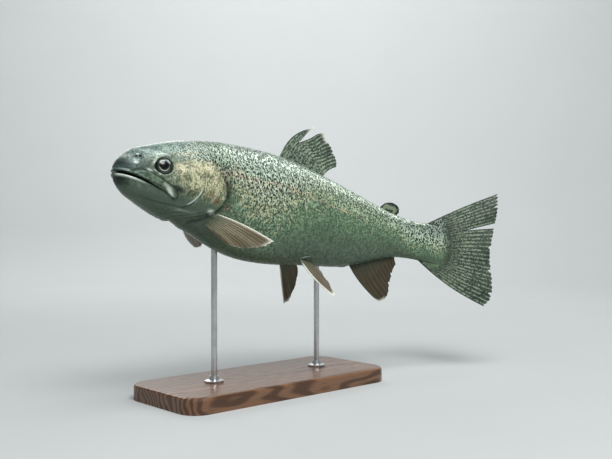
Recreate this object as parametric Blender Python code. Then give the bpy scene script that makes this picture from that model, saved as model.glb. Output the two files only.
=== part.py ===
"""Rainbow trout, life size, as a still display model held over a flat base by two rods.

The fish is modelled straight, in a frame of its own: x runs from the tip of the snout to the tail, y from
the fish's left side (negative) to its right, and z up. bend() then curves it as it turns in the water, and
the empty trout_pose tips, banks and lifts it over the stand. All sizes are in metres.
"""

import math

import bmesh
import bpy
import numpy as np
from mathutils import Vector

# Driving dimensions of the fish
STANDARD_LENGTH = 0.500  # snout to the end of the tail stalk's bones
FLESH_END = 1.028  # share of that length where the tail stalk's flesh closes over the fin rays
NOSE_ROUND = 0.042  # share of that length over which the blunt snout rounds up
STALK_ROUND = 0.045  # the same at the tail stalk's rounded end
GAP = 0.0003  # left between pieces that touch

# Outline of the body, as (share of the standard length, share of the standard length)
BACK = ((0, 0.031), (0.02, 0.039), (0.047, 0.0505), (0.094, 0.069), (0.141, 0.085), (0.19, 0.097),
        (0.255, 0.110), (0.336, 0.1195), (0.42, 0.1255), (0.49, 0.1245), (0.592, 0.112), (0.694, 0.094),
        (0.775, 0.075), (0.857, 0.058), (0.93, 0.0523), (1.03, 0.060))
BELLY = ((0, -0.037), (0.02, -0.046), (0.047, -0.0575), (0.094, -0.077), (0.141, -0.089), (0.19, -0.1015),
         (0.255, -0.124), (0.336, -0.142), (0.42, -0.1435), (0.49, -0.1375), (0.592, -0.124),
         (0.694, -0.110), (0.775, -0.084), (0.857, -0.059), (0.93, -0.054), (1.03, -0.062))
HALF_WIDTH = ((0, 0.024), (0.02, 0.030), (0.047, 0.038), (0.094, 0.050), (0.141, 0.059), (0.20, 0.066),
              (0.255, 0.0675), (0.40, 0.0695), (0.50, 0.067), (0.60, 0.061), (0.70, 0.051), (0.78, 0.040),
              (0.86, 0.029), (0.93, 0.020), (0.98, 0.0135), (1.03, 0.009))
MOUTH_HEIGHT = -0.010  # height at which the two jaws meet at the tip of the snout, share

# How square the sections are: 2 is an ellipse
SQUARE_TOP = ((0, 2.2), (0.06, 2.5), (0.16, 2.45), (0.30, 2.15), (1.03, 2.1))
SQUARE_LOW = ((0, 2.2), (0.08, 2.1), (0.20, 1.95), (0.35, 2.1), (1.03, 2.1))

# Pieces of the head, as (x, z) in metres seen from the side
EYE_AT = (0.0457, 0.0062)
EYE_RADIUS = 0.0092
EYE_DEPTH = 0.0062  # half of the eyeball's thickness from side to side
EYE_PROUD = 0.0028  # how far the eye stands out past the cheek's section
GAPE_TOP = ((-0.010, -0.0030), (0.004, -0.0040), (0.014, -0.0064), (0.027, -0.0106), (0.048, -0.0178),
            (0.063, -0.0250))
GAPE_LOW = ((-0.010, -0.0062), (0.004, -0.0066), (0.014, -0.0086), (0.027, -0.0120), (0.048, -0.0184),
            (0.0624, -0.0256))
JAW_JOINT_LOW = (0.066, -0.062)  # where the cut behind the lower jaw leaves the throat
MAXILLA = ((0.013, -0.0048), (0.022, -0.0020), (0.036, -0.0052), (0.050, -0.0112), (0.0615, -0.0195),
           (0.0618, -0.0242), (0.048, -0.0171), (0.027, -0.0099))
GILL_COVER = ((0.074, 0.012), (0.089, 0.0205), (0.104, 0.0205), (0.1145, 0.0105), (0.1232, -0.007),
              (0.1195, -0.0205), (0.110, -0.031), (0.088, -0.0375), (0.0705, -0.0325), (0.0685, -0.012))
PLATE_DEPTH = {"maxilla": 0.0022, "gill_cover": 0.0040}

# Where the body is parted
HEAD_END = 0.102
TRUNK_END = 0.425
AROUND = 32  # sides of each section

# How the swimming fish curves, in radians for each standard length from its middle
TURN = -0.470
TURN_GROWS = -0.753
ARCH = -0.114

# Place over the stand
MIDDLE_AT = (0.033, -0.004, 0.215)  # where the middle of the body's axis stands
NOSE_UP = math.radians(10.2)
BANK = math.radians(-6.5)

# Paired fins: the front ray's root, its way and the way across the fin, each with y counted outwards,
# then outlines as lengths along the front ray and across the fin
PECTORALS = {
    "left": ((0.1145, 0.0235, -0.0325), (0.689, 0.629, -0.360), (-0.32, -0.095, -0.94)),
    "right": ((0.1120, 0.0235, -0.0320), (0.691, 0.679, -0.247), (0.34, -0.72, -0.61)),
}
PECTORAL_OUTLINE = ((0.073, 0.001), (0.068, 0.008), (0.0575, 0.016), (0.044, 0.0225), (0.030, 0.025),
                    (0.016, 0.0225))
PELVICS = {
    "left": ((0.2615, 0.0170, -0.0620), (0.353, 0.624, -0.697), (0.84, -0.43, 0.325)),
    "right": ((0.2575, 0.0170, -0.0640), (0.537, 0.452, -0.713), (0.877, -0.353, 0.325)),
}
PELVIC_OUTLINE = ((0.062, 0.0), (0.0605, 0.0045), (0.052, 0.0115), (0.0395, 0.0175), (0.027, 0.0215),
                  (0.0145, 0.0230))

# Stand
BASE_SIZE = (0.300, 0.130, 0.018)
BASE_CORNER = 0.022
BASE_BEVEL = 0.0035
ROD_RADIUS = 0.0035
ROD_X = (-0.075, 0.085)
ROD_IN_BASE = 0.010
ROD_IN_BODY = 0.012
COLLAR_RADIUS = 0.011
COLLAR_HEIGHT = 0.007


def clear_scene():
    for obj in list(bpy.data.objects):
        bpy.data.objects.remove(obj, do_unlink=True)


def material(name, colour, roughness, metallic=0.0):
    made = bpy.data.materials.new(name)
    made.use_nodes = True
    shader = made.node_tree.nodes["Principled BSDF"]
    shader.inputs["Base Color"].default_value = (*colour, 1.0)
    shader.inputs["Roughness"].default_value = roughness
    shader.inputs["Metallic"].default_value = metallic
    return made


def smooth_through(points):
    """A natural cubic curve y(x) through the points."""
    x, y = np.array(points, float).T
    step = np.diff(x)
    count = len(x)
    matrix, right = np.eye(count), np.zeros(count)
    for i in range(1, count - 1):
        matrix[i, i - 1 : i + 2] = step[i - 1], 2 * (step[i - 1] + step[i]), step[i]
        right[i] = 6 * ((y[i + 1] - y[i]) / step[i] - (y[i] - y[i - 1]) / step[i - 1])
    bent = np.linalg.solve(matrix, right)

    def height(at):
        at = np.clip(at, x[0], x[-1])
        i = np.clip(np.searchsorted(x, at, side="right") - 1, 0, count - 2)
        a = (x[i + 1] - at) / step[i]
        b = 1 - a
        curved = (a**3 - a) * bent[i] + (b**3 - b) * bent[i + 1]
        return a * y[i] + b * y[i + 1] + curved * step[i] ** 2 / 6

    return height


back_line, belly_line, width_line = map(smooth_through, (BACK, BELLY, HALF_WIDTH))
square_top, square_low = map(smooth_through, (SQUARE_TOP, SQUARE_LOW))


def section(x, grow=0.0):
    """(top, bottom, half width, height of the widest place) of the body at x."""
    share = x / STANDARD_LENGTH
    nose = 1 - min(max(share / NOSE_ROUND, 0), 1)
    tail = 1 - min(max((FLESH_END - share) / STALK_ROUND, 0), 1)
    rounded = math.sqrt(max(1 - nose**2, 0)) * math.sqrt(max(1 - tail**2, 0))
    pole = MOUTH_HEIGHT if share < 0.5 else 0.0
    top, low = float(back_line(share)), float(belly_line(share))
    top, low = pole + (top - pole) * rounded, pole + (low - pole) * rounded
    wide = float(width_line(share)) * rounded
    scale = STANDARD_LENGTH
    return top * scale + grow, low * scale - grow, wide * scale + grow, (top + low) / 2 * scale


def ring(x, grow=0.0, count=AROUND):
    top, low, wide, middle = section(x, grow)
    found = []
    for k in range(count):
        c, s = math.cos(2 * math.pi * k / count), math.sin(2 * math.pi * k / count)
        power = 2 / float((square_top if s > 0 else square_low)(x / STANDARD_LENGTH))
        reach = (top if s > 0 else -low) - (middle if s > 0 else -middle)
        found.append((x, wide * math.copysign(abs(c) ** power, c),
                      middle + reach * math.copysign(abs(s) ** power, s)))
    return found


def new_object(name, bm, finish=None, helper=False):
    mesh = bpy.data.meshes.new(name)
    bmesh.ops.recalc_face_normals(bm, faces=bm.faces)
    bm.to_mesh(mesh)
    bm.free()
    obj = bpy.data.objects.new(name, mesh)
    bpy.context.scene.collection.objects.link(obj)
    if finish:
        mesh.materials.append(finish)
    if helper:
        obj.hide_render = True
        obj.display_type = "WIRE"
    return obj


def loft(name, stations, finish=None, grow=0.0, helper=False):
    """A closed length of the body through these stations. A station where the body closes makes a point."""
    bm = bmesh.new()
    rings = []
    for x in stations:
        if section(x)[2] < 1e-6:
            end = -grow if x < STANDARD_LENGTH / 2 else grow
            height = MOUTH_HEIGHT * STANDARD_LENGTH if x < STANDARD_LENGTH / 2 else 0.0
            rings.append([bm.verts.new((x + end, 0, height))])
        else:
            rings.append([bm.verts.new(p) for p in ring(x, grow)])
    for a, b in zip(rings, rings[1:]):
        for k in range(AROUND):
            n = (k + 1) % AROUND
            corners = [a[k % len(a)], a[n % len(a)], b[n % len(b)], b[k % len(b)]]
            bm.faces.new(list(dict.fromkeys(corners)))
    for end in (rings[0], rings[-1]):
        if len(end) > 1:
            bm.faces.new(end)
    return new_object(name, bm, finish, helper)


def stations_from(start, end, count, gather_start=False, gather_end=False):
    """Evenly spaced stations, or gathered towards an end that rounds off."""
    t = np.linspace(0, 1, count)
    if gather_start:
        t = 1 - np.cos(t * math.pi / 2)
    if gather_end:
        t = np.sin(t * math.pi / 2)
    return [float(start + (end - start) * v) for v in t]


def round_outline(points, steps=3):
    """A closed smooth curve through the points, by Catmull and Rom's rule."""
    points = [Vector(p) for p in points]
    found = []
    for i, p in enumerate(points):
        before, after, beyond = points[i - 1], points[(i + 1) % len(points)], points[(i + 2) % len(points)]
        for k in range(steps):
            t = k / steps
            found.append(0.5 * (2 * p + (after - before) * t
                                + (2 * before - 5 * p + 4 * after - beyond) * t * t
                                + (3 * p - before - 3 * after + beyond) * t**3))
    return found


def grown(outline, by):
    """The outline moved outwards by a small distance."""
    count = len(outline)
    area = sum(outline[i - 1].cross(outline[i]) for i in range(count))
    moved = []
    for i, p in enumerate(outline):
        along = (outline[(i + 1) % count] - outline[i - 1]).normalized()
        out = Vector((along.y, -along.x)) * math.copysign(1, area)
        moved.append(p + out * by)
    return moved


def prism(name, outline, y_from, y_to):
    """A side-view outline of (x, z) points carried from one y to another, as a helper."""
    bm = bmesh.new()
    face = bm.faces.new([bm.verts.new((p[0], y_from, p[1])) for p in outline])
    pushed = bmesh.ops.extrude_face_region(bm, geom=[face])
    verts = [v for v in pushed["geom"] if isinstance(v, bmesh.types.BMVert)]
    bmesh.ops.translate(bm, verts=verts, vec=(0, y_to - y_from, 0))
    return new_object(name, bm, helper=True)


def combine(obj, other, operation):
    """Applies one Boolean to the object's own mesh."""
    step = obj.modifiers.new(operation.lower(), "BOOLEAN")
    step.operation = operation
    step.solver = "EXACT"
    step.object = other
    bpy.context.view_layer.update()
    graph = bpy.context.evaluated_depsgraph_get()
    result = bpy.data.meshes.new_from_object(obj.evaluated_get(graph))
    obj.modifiers.clear()
    obj.data = result
    return obj


def copy_of(obj, name):
    made = obj.copy()
    made.data = obj.data.copy()
    made.name = name
    bpy.context.scene.collection.objects.link(made)
    return made


def drop(*helpers):
    for obj in helpers:
        bpy.data.objects.remove(obj, do_unlink=True)


def cheek_plates(kind, outline, flesh, stations, finish):
    """A thin plate on each side of the head, let into the pieces of flesh below it."""
    depth = PLATE_DEPTH[kind]
    outline = round_outline(outline)
    cheek = [x for x in stations if 0.006 < x < 0.150]
    for side, name in ((-1, "left"), (1, "right")):
        body = loft("outer", cheek)
        plate = prism("plate", outline, side * 0.006, side * 0.060)
        under = loft("under", cheek, grow=-depth)
        combine(plate, body, "INTERSECT")
        combine(plate, under, "DIFFERENCE")
        plate.name = f"{kind}_{name}"
        plate.hide_render = False
        plate.display_type = "TEXTURED"
        plate.data.materials.clear()
        plate.data.materials.append(finish)
        seat = prism("seat", grown(outline, GAP), side * 0.0055, side * 0.060)
        floor = loft("floor", cheek, grow=-depth - GAP)
        combine(seat, floor, "DIFFERENCE")
        for piece in flesh:
            combine(piece, seat, "DIFFERENCE")
        drop(body, under, seat, floor)
        yield plate


def part_jaw(head, finish):
    """Parts the lower jaw from the head along the open mouth."""
    back = JAW_JOINT_LOW[0] + 2 * GAP
    jaw = copy_of(head, "lower_jaw")
    keep = prism("keep", [(-0.02, -0.07), *GAPE_LOW, JAW_JOINT_LOW], -0.08, 0.08)
    cut = prism("cut", [(-0.03, -0.08), (-0.03, GAPE_TOP[0][1]), *GAPE_TOP[1:], (back, JAW_JOINT_LOW[1]),
                        (back, -0.08)], -0.08, 0.08)
    combine(jaw, keep, "INTERSECT")
    combine(head, cut, "DIFFERENCE")
    drop(keep, cut)
    jaw.data.materials.clear()
    jaw.data.materials.append(finish)
    return jaw


def eyeball(name, side, head, finish):
    """A flattened ball in a socket of its own shape."""
    x, z = EYE_AT
    y = side * (surface_width(x, z) + EYE_PROUD - EYE_DEPTH)
    made = []
    for grow, label in ((0.0, name), (GAP, "socket")):
        bm = bmesh.new()
        bmesh.ops.create_uvsphere(bm, u_segments=16, v_segments=10, radius=1.0)
        bmesh.ops.rotate(bm, verts=bm.verts, matrix=Vector((0, 0, 1)).rotation_difference(
            Vector((0, 1, 0))).to_matrix())
        bmesh.ops.scale(bm, verts=bm.verts, vec=(EYE_RADIUS + grow, EYE_DEPTH + grow, EYE_RADIUS + grow))
        bmesh.ops.translate(bm, verts=bm.verts, vec=(x, y, z))
        made.append(new_object(label, bm, finish, helper=label == "socket"))
    combine(head, made[1], "DIFFERENCE")
    drop(made[1])
    return made[0]


def surface_width(x, z):
    """Half of the body's width at a place on its side."""
    top, low, wide, middle = section(x)
    above = z > middle
    power = float((square_top if above else square_low)(x / STANDARD_LENGTH))
    reach = (top - middle) if above else (middle - low)
    return wide * max(1 - (abs(z - middle) / reach) ** power, 0) ** (1 / power)


def fin(name, roots, tips, finish, thickness, bow=0.0, flare=0.0, rays=12, steps=6, cup=0.0):
    """A thin fin. roots and tips are curves of 3D points, walked evenly from its front ray to its last.

    bow bends the rays forwards within the fin, flare bends the last ones back, and cup hollows the fin
    across, all as shares of a ray's length.
    """
    root_curve, tip_curve = walk(roots, rays), walk(tips, rays)
    grid = []
    for i, (root, tip) in enumerate(zip(root_curve, tip_curve)):
        ray = tip - root
        across = (root_curve[-1] - root_curve[0]).normalized()
        flat = ray.cross(across).normalized()
        back = flat.cross(ray).normalized() * ray.length
        row = []
        for j in range(steps + 1):
            t = j / steps
            lean = math.sin(math.pi * t)
            bent = bow - flare * (i / (rays - 1)) ** 2
            row.append(root + ray * t - back * bent * lean + flat * cup * ray.length * lean)
        grid.append(row)
    bm = bmesh.new()
    sides = []
    for sign in (1, -1):
        rows = []
        for i in range(rays):
            row = []
            for j in range(steps + 1):
                a = grid[min(i + 1, rays - 1)][j] - grid[max(i - 1, 0)][j]
                b = grid[i][min(j + 1, steps)] - grid[i][max(j - 1, 0)]
                t = j / steps
                edge = 0.55 if i in (0, rays - 1) else 1.0
                half = max((thickness[0] * (1 - t) ** 0.7 + thickness[1] * (1 - (1 - t) ** 0.7)) * edge,
                           thickness[1]) / 2
                row.append(bm.verts.new(grid[i][j] + sign * half * b.cross(a).normalized()))
            rows.append(row)
        sides.append(rows)
    for side, rows in enumerate(sides):
        for i in range(rays - 1):
            for j in range(steps):
                quad = [rows[i][j], rows[i + 1][j], rows[i + 1][j + 1], rows[i][j + 1]]
                bm.faces.new(quad[::-1] if side else quad)
    rim = [(i, 0) for i in range(rays)] + [(rays - 1, j) for j in range(1, steps + 1)]
    rim += [(i, steps) for i in range(rays - 2, -1, -1)] + [(0, j) for j in range(steps - 1, 0, -1)]
    for (i, j), (k, m) in zip(rim, rim[1:] + rim[:1]):
        bm.faces.new([sides[0][i][j], sides[0][k][m], sides[1][k][m], sides[1][i][j]])
    bmesh.ops.triangulate(bm, faces=bm.faces)
    return new_object(name, bm, finish)


def walk(points, count):
    """count places at even distances along a smooth curve through 3D points."""
    points = np.array([tuple(p) for p in points], float)
    along = np.concatenate([[0], np.cumsum(np.linalg.norm(np.diff(points, axis=0), axis=1))])
    curves = [smooth_through(np.stack([along, points[:, k]], axis=1)) for k in range(3)]
    at = np.linspace(0, along[-1], count)
    return [Vector([float(curve(a)) for curve in curves]) for a in at]


def midline(*points):
    return [(x, 0.0, z) for x, z in points]


def paired(root, ray, chord, outline, root_chord, side, name, finish, clearance, thickness, cup):
    """One fin of a pair. Its outline is (along the front ray, along the chord) from the front ray's root."""
    ray = Vector((ray[0], side * ray[1], ray[2])).normalized()
    chord = Vector((chord[0], side * chord[1], chord[2]))
    chord = (chord - chord.dot(ray) * ray).normalized()
    start = Vector((root[0], side * root[1], root[2]))
    inset = 0.007
    roots = [start - ray * inset + chord * root_chord * t for t in (0, 0.5, 1)]
    tips = [start + ray * a + chord * c for a, c in outline]
    made = fin(name, roots, tips, finish, thickness, bow=0.02, rays=10, steps=5, cup=cup * side)
    return combine(made, clearance, "DIFFERENCE")


def fins(clearance, finish):
    """All eight fins, each cut to sit on the body."""
    dorsal = fin("dorsal_fin",
                 midline((0.2285, 0.055), (0.262, 0.056), (0.300, 0.047)),
                 midline((0.2835, 0.1155), (0.288, 0.108), (0.3035, 0.1105), (0.315, 0.099), (0.3245, 0.086),
                         (0.3255, 0.0735)),
                 finish, (0.0034, 0.0008), bow=0.15, rays=13, steps=6)
    adipose = fin("adipose_fin",
                  midline((0.398, 0.030), (0.412, 0.028), (0.426, 0.024)),
                  midline((0.410, 0.0425), (0.423, 0.0450), (0.4325, 0.0395), (0.4325, 0.0330)),
                  finish, (0.0046, 0.0016), bow=0.05, rays=7, steps=4)
    anal = fin("anal_fin",
               midline((0.428, -0.022), (0.395, -0.033), (0.357, -0.046)),
               midline((0.4335, -0.038), (0.4265, -0.056), (0.4235, -0.080), (0.414, -0.092),
                       (0.401, -0.0885)),
               finish, (0.0034, 0.0008), bow=-0.05, rays=12, steps=5)
    upper = caudal("caudal_fin", finish)
    for piece in (dorsal, adipose, anal, upper):
        combine(piece, clearance, "DIFFERENCE")
        yield piece
    for side, name in ((-1, "left"), (1, "right")):
        yield paired(*PECTORALS[name], PECTORAL_OUTLINE, 0.014, side, f"pectoral_fin_{name}", finish,
                     clearance, (0.0036, 0.0009), 0.05)
        yield paired(*PELVICS[name], PELVIC_OUTLINE, 0.018, side, f"pelvic_fin_{name}", finish,
                     clearance, (0.0032, 0.0008), 0.04)


def caudal(name, finish):
    """The tail fin: an open fan with a split between two rays of its upper lobe."""
    roots = midline((0.484, 0.0275), (0.503, 0.018), (0.507, 0.0), (0.503, -0.018), (0.475, -0.0287))
    tips = midline((0.5815, 0.0885), (0.583, 0.066), (0.5815, 0.043), (0.578, 0.018), (0.5775, -0.003),
                   (0.581, -0.024), (0.584, -0.045), (0.583, -0.064), (0.575, -0.0755))
    made = fin(name, roots, tips, finish, (0.0042, 0.0009), bow=0.01, flare=0.05, rays=17, steps=6)
    split = prism("split", [(0.537, 0.0318), (0.60, 0.0400), (0.60, 0.0520)], -0.02, 0.02)
    combine(made, split, "DIFFERENCE")
    drop(split)
    return made


def bend(obj):
    """Curves a piece of the straight fish along its swimming axis."""
    step = 0.001
    share = np.arange(-0.06, 1.30, step)
    away = share - 0.5
    heading = TURN * away + TURN_GROWS * away**2
    rise = ARCH * away
    ways = np.stack([np.cos(heading) * np.cos(rise), np.sin(heading) * np.cos(rise), np.sin(rise)], axis=1)
    axis = np.cumsum(ways, axis=0) * step * STANDARD_LENGTH
    axis -= axis[int(np.argmin(abs(away)))]
    points = np.empty(len(obj.data.vertices) * 3)
    obj.data.vertices.foreach_get("co", points)
    points = points.reshape(-1, 3)
    at = points[:, 0] / STANDARD_LENGTH
    place = np.stack([np.interp(at, share, axis[:, k]) for k in range(3)], axis=1)
    turn, lift = np.interp(at, share, heading), np.interp(at, share, rise)
    side = np.stack([-np.sin(turn), np.cos(turn), 0 * turn], axis=1)
    up = np.stack([-np.cos(turn) * np.sin(lift), -np.sin(turn) * np.sin(lift), np.cos(lift)], axis=1)
    place += side * points[:, 1:2] + up * points[:, 2:3]
    obj.data.vertices.foreach_set("co", place.ravel())
    obj.data.update()


def cylinder(name, radius, z_from, z_to, x, finish=None, helper=False, sides=20):
    bm = bmesh.new()
    bmesh.ops.create_cone(bm, cap_ends=True, segments=sides, radius1=radius, radius2=radius,
                          depth=z_to - z_from)
    bmesh.ops.translate(bm, verts=bm.verts, vec=(x, 0, (z_from + z_to) / 2))
    return new_object(name, bm, finish, helper)


def base(finish):
    """A flat board with round corners and an eased edge, drilled for the rods."""
    length, width, height = BASE_SIZE
    bm = bmesh.new()
    bmesh.ops.create_cube(bm, size=1.0)
    bmesh.ops.scale(bm, verts=bm.verts, vec=BASE_SIZE)
    bmesh.ops.translate(bm, verts=bm.verts, vec=(0, 0, height / 2))
    upright = [e for e in bm.edges if abs(e.verts[0].co.z - e.verts[1].co.z) > height / 2]
    bmesh.ops.bevel(bm, geom=upright, offset=BASE_CORNER, segments=5, affect="EDGES", profile=0.5)
    top = [e for e in bm.edges if all(abs(v.co.z - height) < 1e-6 for v in e.verts)]
    bmesh.ops.bevel(bm, geom=top, offset=BASE_BEVEL, segments=2, affect="EDGES", profile=0.5)
    board = new_object("stand_base", bm, finish)
    for x in ROD_X:
        hole = cylinder("hole", ROD_RADIUS + GAP, height - ROD_IN_BASE - GAP, height + 0.01, x, helper=True)
        combine(board, hole, "DIFFERENCE")
        drop(hole)
    return board


def collar(name, x, finish):
    """A turned foot round the rod where it leaves the board."""
    low = BASE_SIZE[2] + GAP
    profile = [(ROD_RADIUS + GAP, low), (COLLAR_RADIUS, low), (COLLAR_RADIUS, low + 0.0018),
               (ROD_RADIUS + 0.0030, low + 0.0032), (ROD_RADIUS + 0.0018, low + COLLAR_HEIGHT),
               (ROD_RADIUS + GAP, low + COLLAR_HEIGHT)]
    bm = bmesh.new()
    verts = [bm.verts.new((r, 0, z)) for r, z in profile]
    edges = [bm.edges.new((a, b)) for a, b in zip(verts, verts[1:] + verts[:1])]
    bmesh.ops.spin(bm, geom=verts + edges, cent=(0, 0, 0), axis=(0, 0, 1), angle=2 * math.pi, steps=20,
                   use_merge=True)
    bmesh.ops.remove_doubles(bm, verts=bm.verts, dist=1e-6)
    bmesh.ops.translate(bm, verts=bm.verts, vec=(x, 0, 0))
    return new_object(name, bm, finish)


def belly_height(trunk, x):
    """Where a vertical line over the stand's middle line first meets the posed trunk."""
    inverse = trunk.matrix_world.inverted()
    start, way = inverse @ Vector((x, 0, 0)), inverse.to_3x3() @ Vector((0, 0, 1))
    hit, place, _, _ = trunk.ray_cast(start, way.normalized())
    if not hit:
        raise ValueError("the rod misses the trunk")
    return (trunk.matrix_world @ place).z


def stand(trunk, wood, steel):
    base(wood)
    for x, name in zip(ROD_X, ("front", "rear")):
        top = belly_height(trunk, x) + ROD_IN_BODY
        cylinder(f"stand_rod_{name}", ROD_RADIUS, BASE_SIZE[2] - ROD_IN_BASE, top, x, steel)
        collar(f"stand_collar_{name}", x, steel)
        bore = cylinder("bore", ROD_RADIUS + GAP, top - 0.05, top + GAP, x, helper=True)
        combine(trunk, bore, "DIFFERENCE")
        drop(bore)


def smooth(obj, degrees=35):
    obj.data.shade_smooth()
    obj.data.set_sharp_from_angle(angle=math.radians(degrees))


def build():
    clear_scene()
    skin = material("trout_skin", (0.30, 0.36, 0.29), 0.38, 0.15)
    gill = material("gill_cover", (0.48, 0.40, 0.26), 0.35, 0.2)
    jaw_skin = material("jaw", (0.22, 0.27, 0.22), 0.40, 0.1)
    fin_skin = material("fin", (0.24, 0.22, 0.16), 0.45)
    eye = material("eye", (0.08, 0.07, 0.04), 0.08)
    wood = material("stand_wood", (0.13, 0.07, 0.04), 0.35)
    steel = material("stand_steel", (0.62, 0.62, 0.62), 0.28, 1.0)

    lengths = {"head": stations_from(0, HEAD_END - GAP, 15, gather_start=True),
               "trunk": stations_from(HEAD_END, TRUNK_END - GAP, 18),
               "tail_stalk": stations_from(TRUNK_END, FLESH_END * STANDARD_LENGTH, 12, gather_end=True)}
    head, trunk, stalk = (loft(name, stations, skin) for name, stations in lengths.items())
    pieces = [head, trunk, stalk]
    whole = sum(lengths.values(), [])
    pieces += cheek_plates("gill_cover", GILL_COVER, [head, trunk], whole, gill)
    pieces += cheek_plates("maxilla", MAXILLA, [head], whole, jaw_skin)
    pieces += [eyeball(f"eye_{name}", side, head, eye) for side, name in ((-1, "left"), (1, "right"))]
    pieces.append(part_jaw(head, jaw_skin))
    clearance = loft("clearance", whole, grow=GAP, helper=True)
    pieces += fins(clearance, fin_skin)
    drop(clearance)

    pose = bpy.data.objects.new("trout_pose", None)
    bpy.context.scene.collection.objects.link(pose)
    pose.rotation_euler = (BANK, NOSE_UP, 0)
    pose.location = MIDDLE_AT
    bpy.context.view_layer.update()
    for piece in pieces:
        bend(piece)
        if piece is trunk:
            piece.data.transform(pose.matrix_world)
        else:
            piece.parent = pose
        smooth(piece)
    bpy.context.view_layer.update()
    stand(trunk, wood, steel)
    for obj in bpy.data.objects:
        if obj.name.startswith("stand_"):
            smooth(obj)


build()
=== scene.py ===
import math
from types import SimpleNamespace
import bmesh
import bpy
import numpy as np
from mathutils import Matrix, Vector


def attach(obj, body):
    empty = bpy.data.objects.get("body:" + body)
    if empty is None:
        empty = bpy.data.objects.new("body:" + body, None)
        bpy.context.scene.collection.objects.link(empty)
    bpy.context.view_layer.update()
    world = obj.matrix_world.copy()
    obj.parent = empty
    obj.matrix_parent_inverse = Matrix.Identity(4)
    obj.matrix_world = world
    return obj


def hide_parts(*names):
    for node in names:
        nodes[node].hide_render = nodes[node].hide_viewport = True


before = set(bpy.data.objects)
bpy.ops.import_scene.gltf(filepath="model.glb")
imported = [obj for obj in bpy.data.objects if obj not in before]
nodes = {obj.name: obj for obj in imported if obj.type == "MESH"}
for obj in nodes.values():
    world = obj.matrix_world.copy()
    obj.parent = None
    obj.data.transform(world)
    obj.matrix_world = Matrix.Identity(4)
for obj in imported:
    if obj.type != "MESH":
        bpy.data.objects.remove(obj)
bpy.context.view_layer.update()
collection = bpy.context.scene.collection

viewpoint = {
    "place": (-0.6148, -0.7411, 0.1913),
    "heading": 42.61,  # degrees from +Y towards +X
    "lens": 47.13,
    "sensor": 36.0,
}
cameraData = bpy.data.cameras.new("camera")
cameraData.lens = viewpoint["lens"]
cameraData.sensor_width = viewpoint["sensor"]
camera = bpy.data.objects.new("camera", cameraData)
collection.objects.link(camera)
camera.location = viewpoint["place"]
camera.rotation_euler = (math.radians(90), 0, -math.radians(viewpoint["heading"]))
bpy.context.scene.camera = camera
print("camera placed")

# The fish is shaped straight, snout at x = 0, its left side at -y, and then curved and tipped into its pose
trout = {
    "length": 0.500,  # snout to the end of the tail stalk's bones
    "fleshEnd": 1.052,
    "noseRound": 0.042,
    "stalkRound": 0.050,
    "mouthHeight": -0.010,
    "back": ((0, 0.031), (0.02, 0.039), (0.047, 0.0505), (0.094, 0.069), (0.141, 0.085), (0.19, 0.097),
             (0.255, 0.110), (0.336, 0.1195), (0.42, 0.1255), (0.49, 0.1245), (0.592, 0.112),
             (0.694, 0.094), (0.775, 0.075), (0.857, 0.058), (0.93, 0.0523), (1.03, 0.060)),
    "belly": ((0, -0.037), (0.02, -0.046), (0.047, -0.0575), (0.094, -0.077), (0.141, -0.089),
              (0.19, -0.1015), (0.255, -0.124), (0.336, -0.142), (0.42, -0.1435), (0.49, -0.1375),
              (0.592, -0.124), (0.694, -0.110), (0.775, -0.084), (0.857, -0.059), (0.93, -0.054),
              (1.03, -0.062)),
    "halfWidth": ((0, 0.024), (0.02, 0.030), (0.047, 0.038), (0.094, 0.050), (0.141, 0.059), (0.20, 0.066),
                  (0.255, 0.0675), (0.40, 0.0695), (0.50, 0.067), (0.60, 0.061), (0.70, 0.051),
                  (0.78, 0.040), (0.86, 0.029), (0.93, 0.0195), (0.97, 0.0137), (1.0, 0.0093),
                  (1.02, 0.0063), (1.036, 0.0043), (1.052, 0.0030)),
    "squareTop": ((0, 2.2), (0.06, 2.5), (0.16, 2.45), (0.30, 2.15), (1.03, 2.1)),
    "squareLow": ((0, 2.2), (0.08, 2.1), (0.20, 1.95), (0.35, 2.1), (1.03, 2.1)),
    "turn": -0.470,  # radians of heading for each standard length from the middle
    "turnGrows": -0.753,
    "arch": -0.114,
    "middleAt": (0.033, -0.004, 0.215),
    "noseUp": 10.2,
    "bank": -6.5,
}


def smoothThrough(points):  # the height at any place of a natural spline through the points
    x, y = np.array(points, float).T
    step = np.diff(x)
    count = len(x)
    matrix, right = np.eye(count), np.zeros(count)
    for i in range(1, count - 1):
        matrix[i, i - 1:i + 2] = step[i - 1], 2 * (step[i - 1] + step[i]), step[i]
        right[i] = 6 * ((y[i + 1] - y[i]) / step[i] - (y[i] - y[i - 1]) / step[i - 1])
    bent = np.linalg.solve(matrix, right)

    def height(at):
        at = np.clip(at, x[0], x[-1])
        i = np.clip(np.searchsorted(x, at, side="right") - 1, 0, count - 2)
        a = (x[i + 1] - at) / step[i]
        b = 1 - a
        curved = (a**3 - a) * bent[i] + (b**3 - b) * bent[i + 1]
        return a * y[i] + b * y[i + 1] + curved * step[i] ** 2 / 6

    return height


profile = {name: smoothThrough(trout[name])
           for name in ("back", "belly", "halfWidth", "squareTop", "squareLow")}


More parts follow.
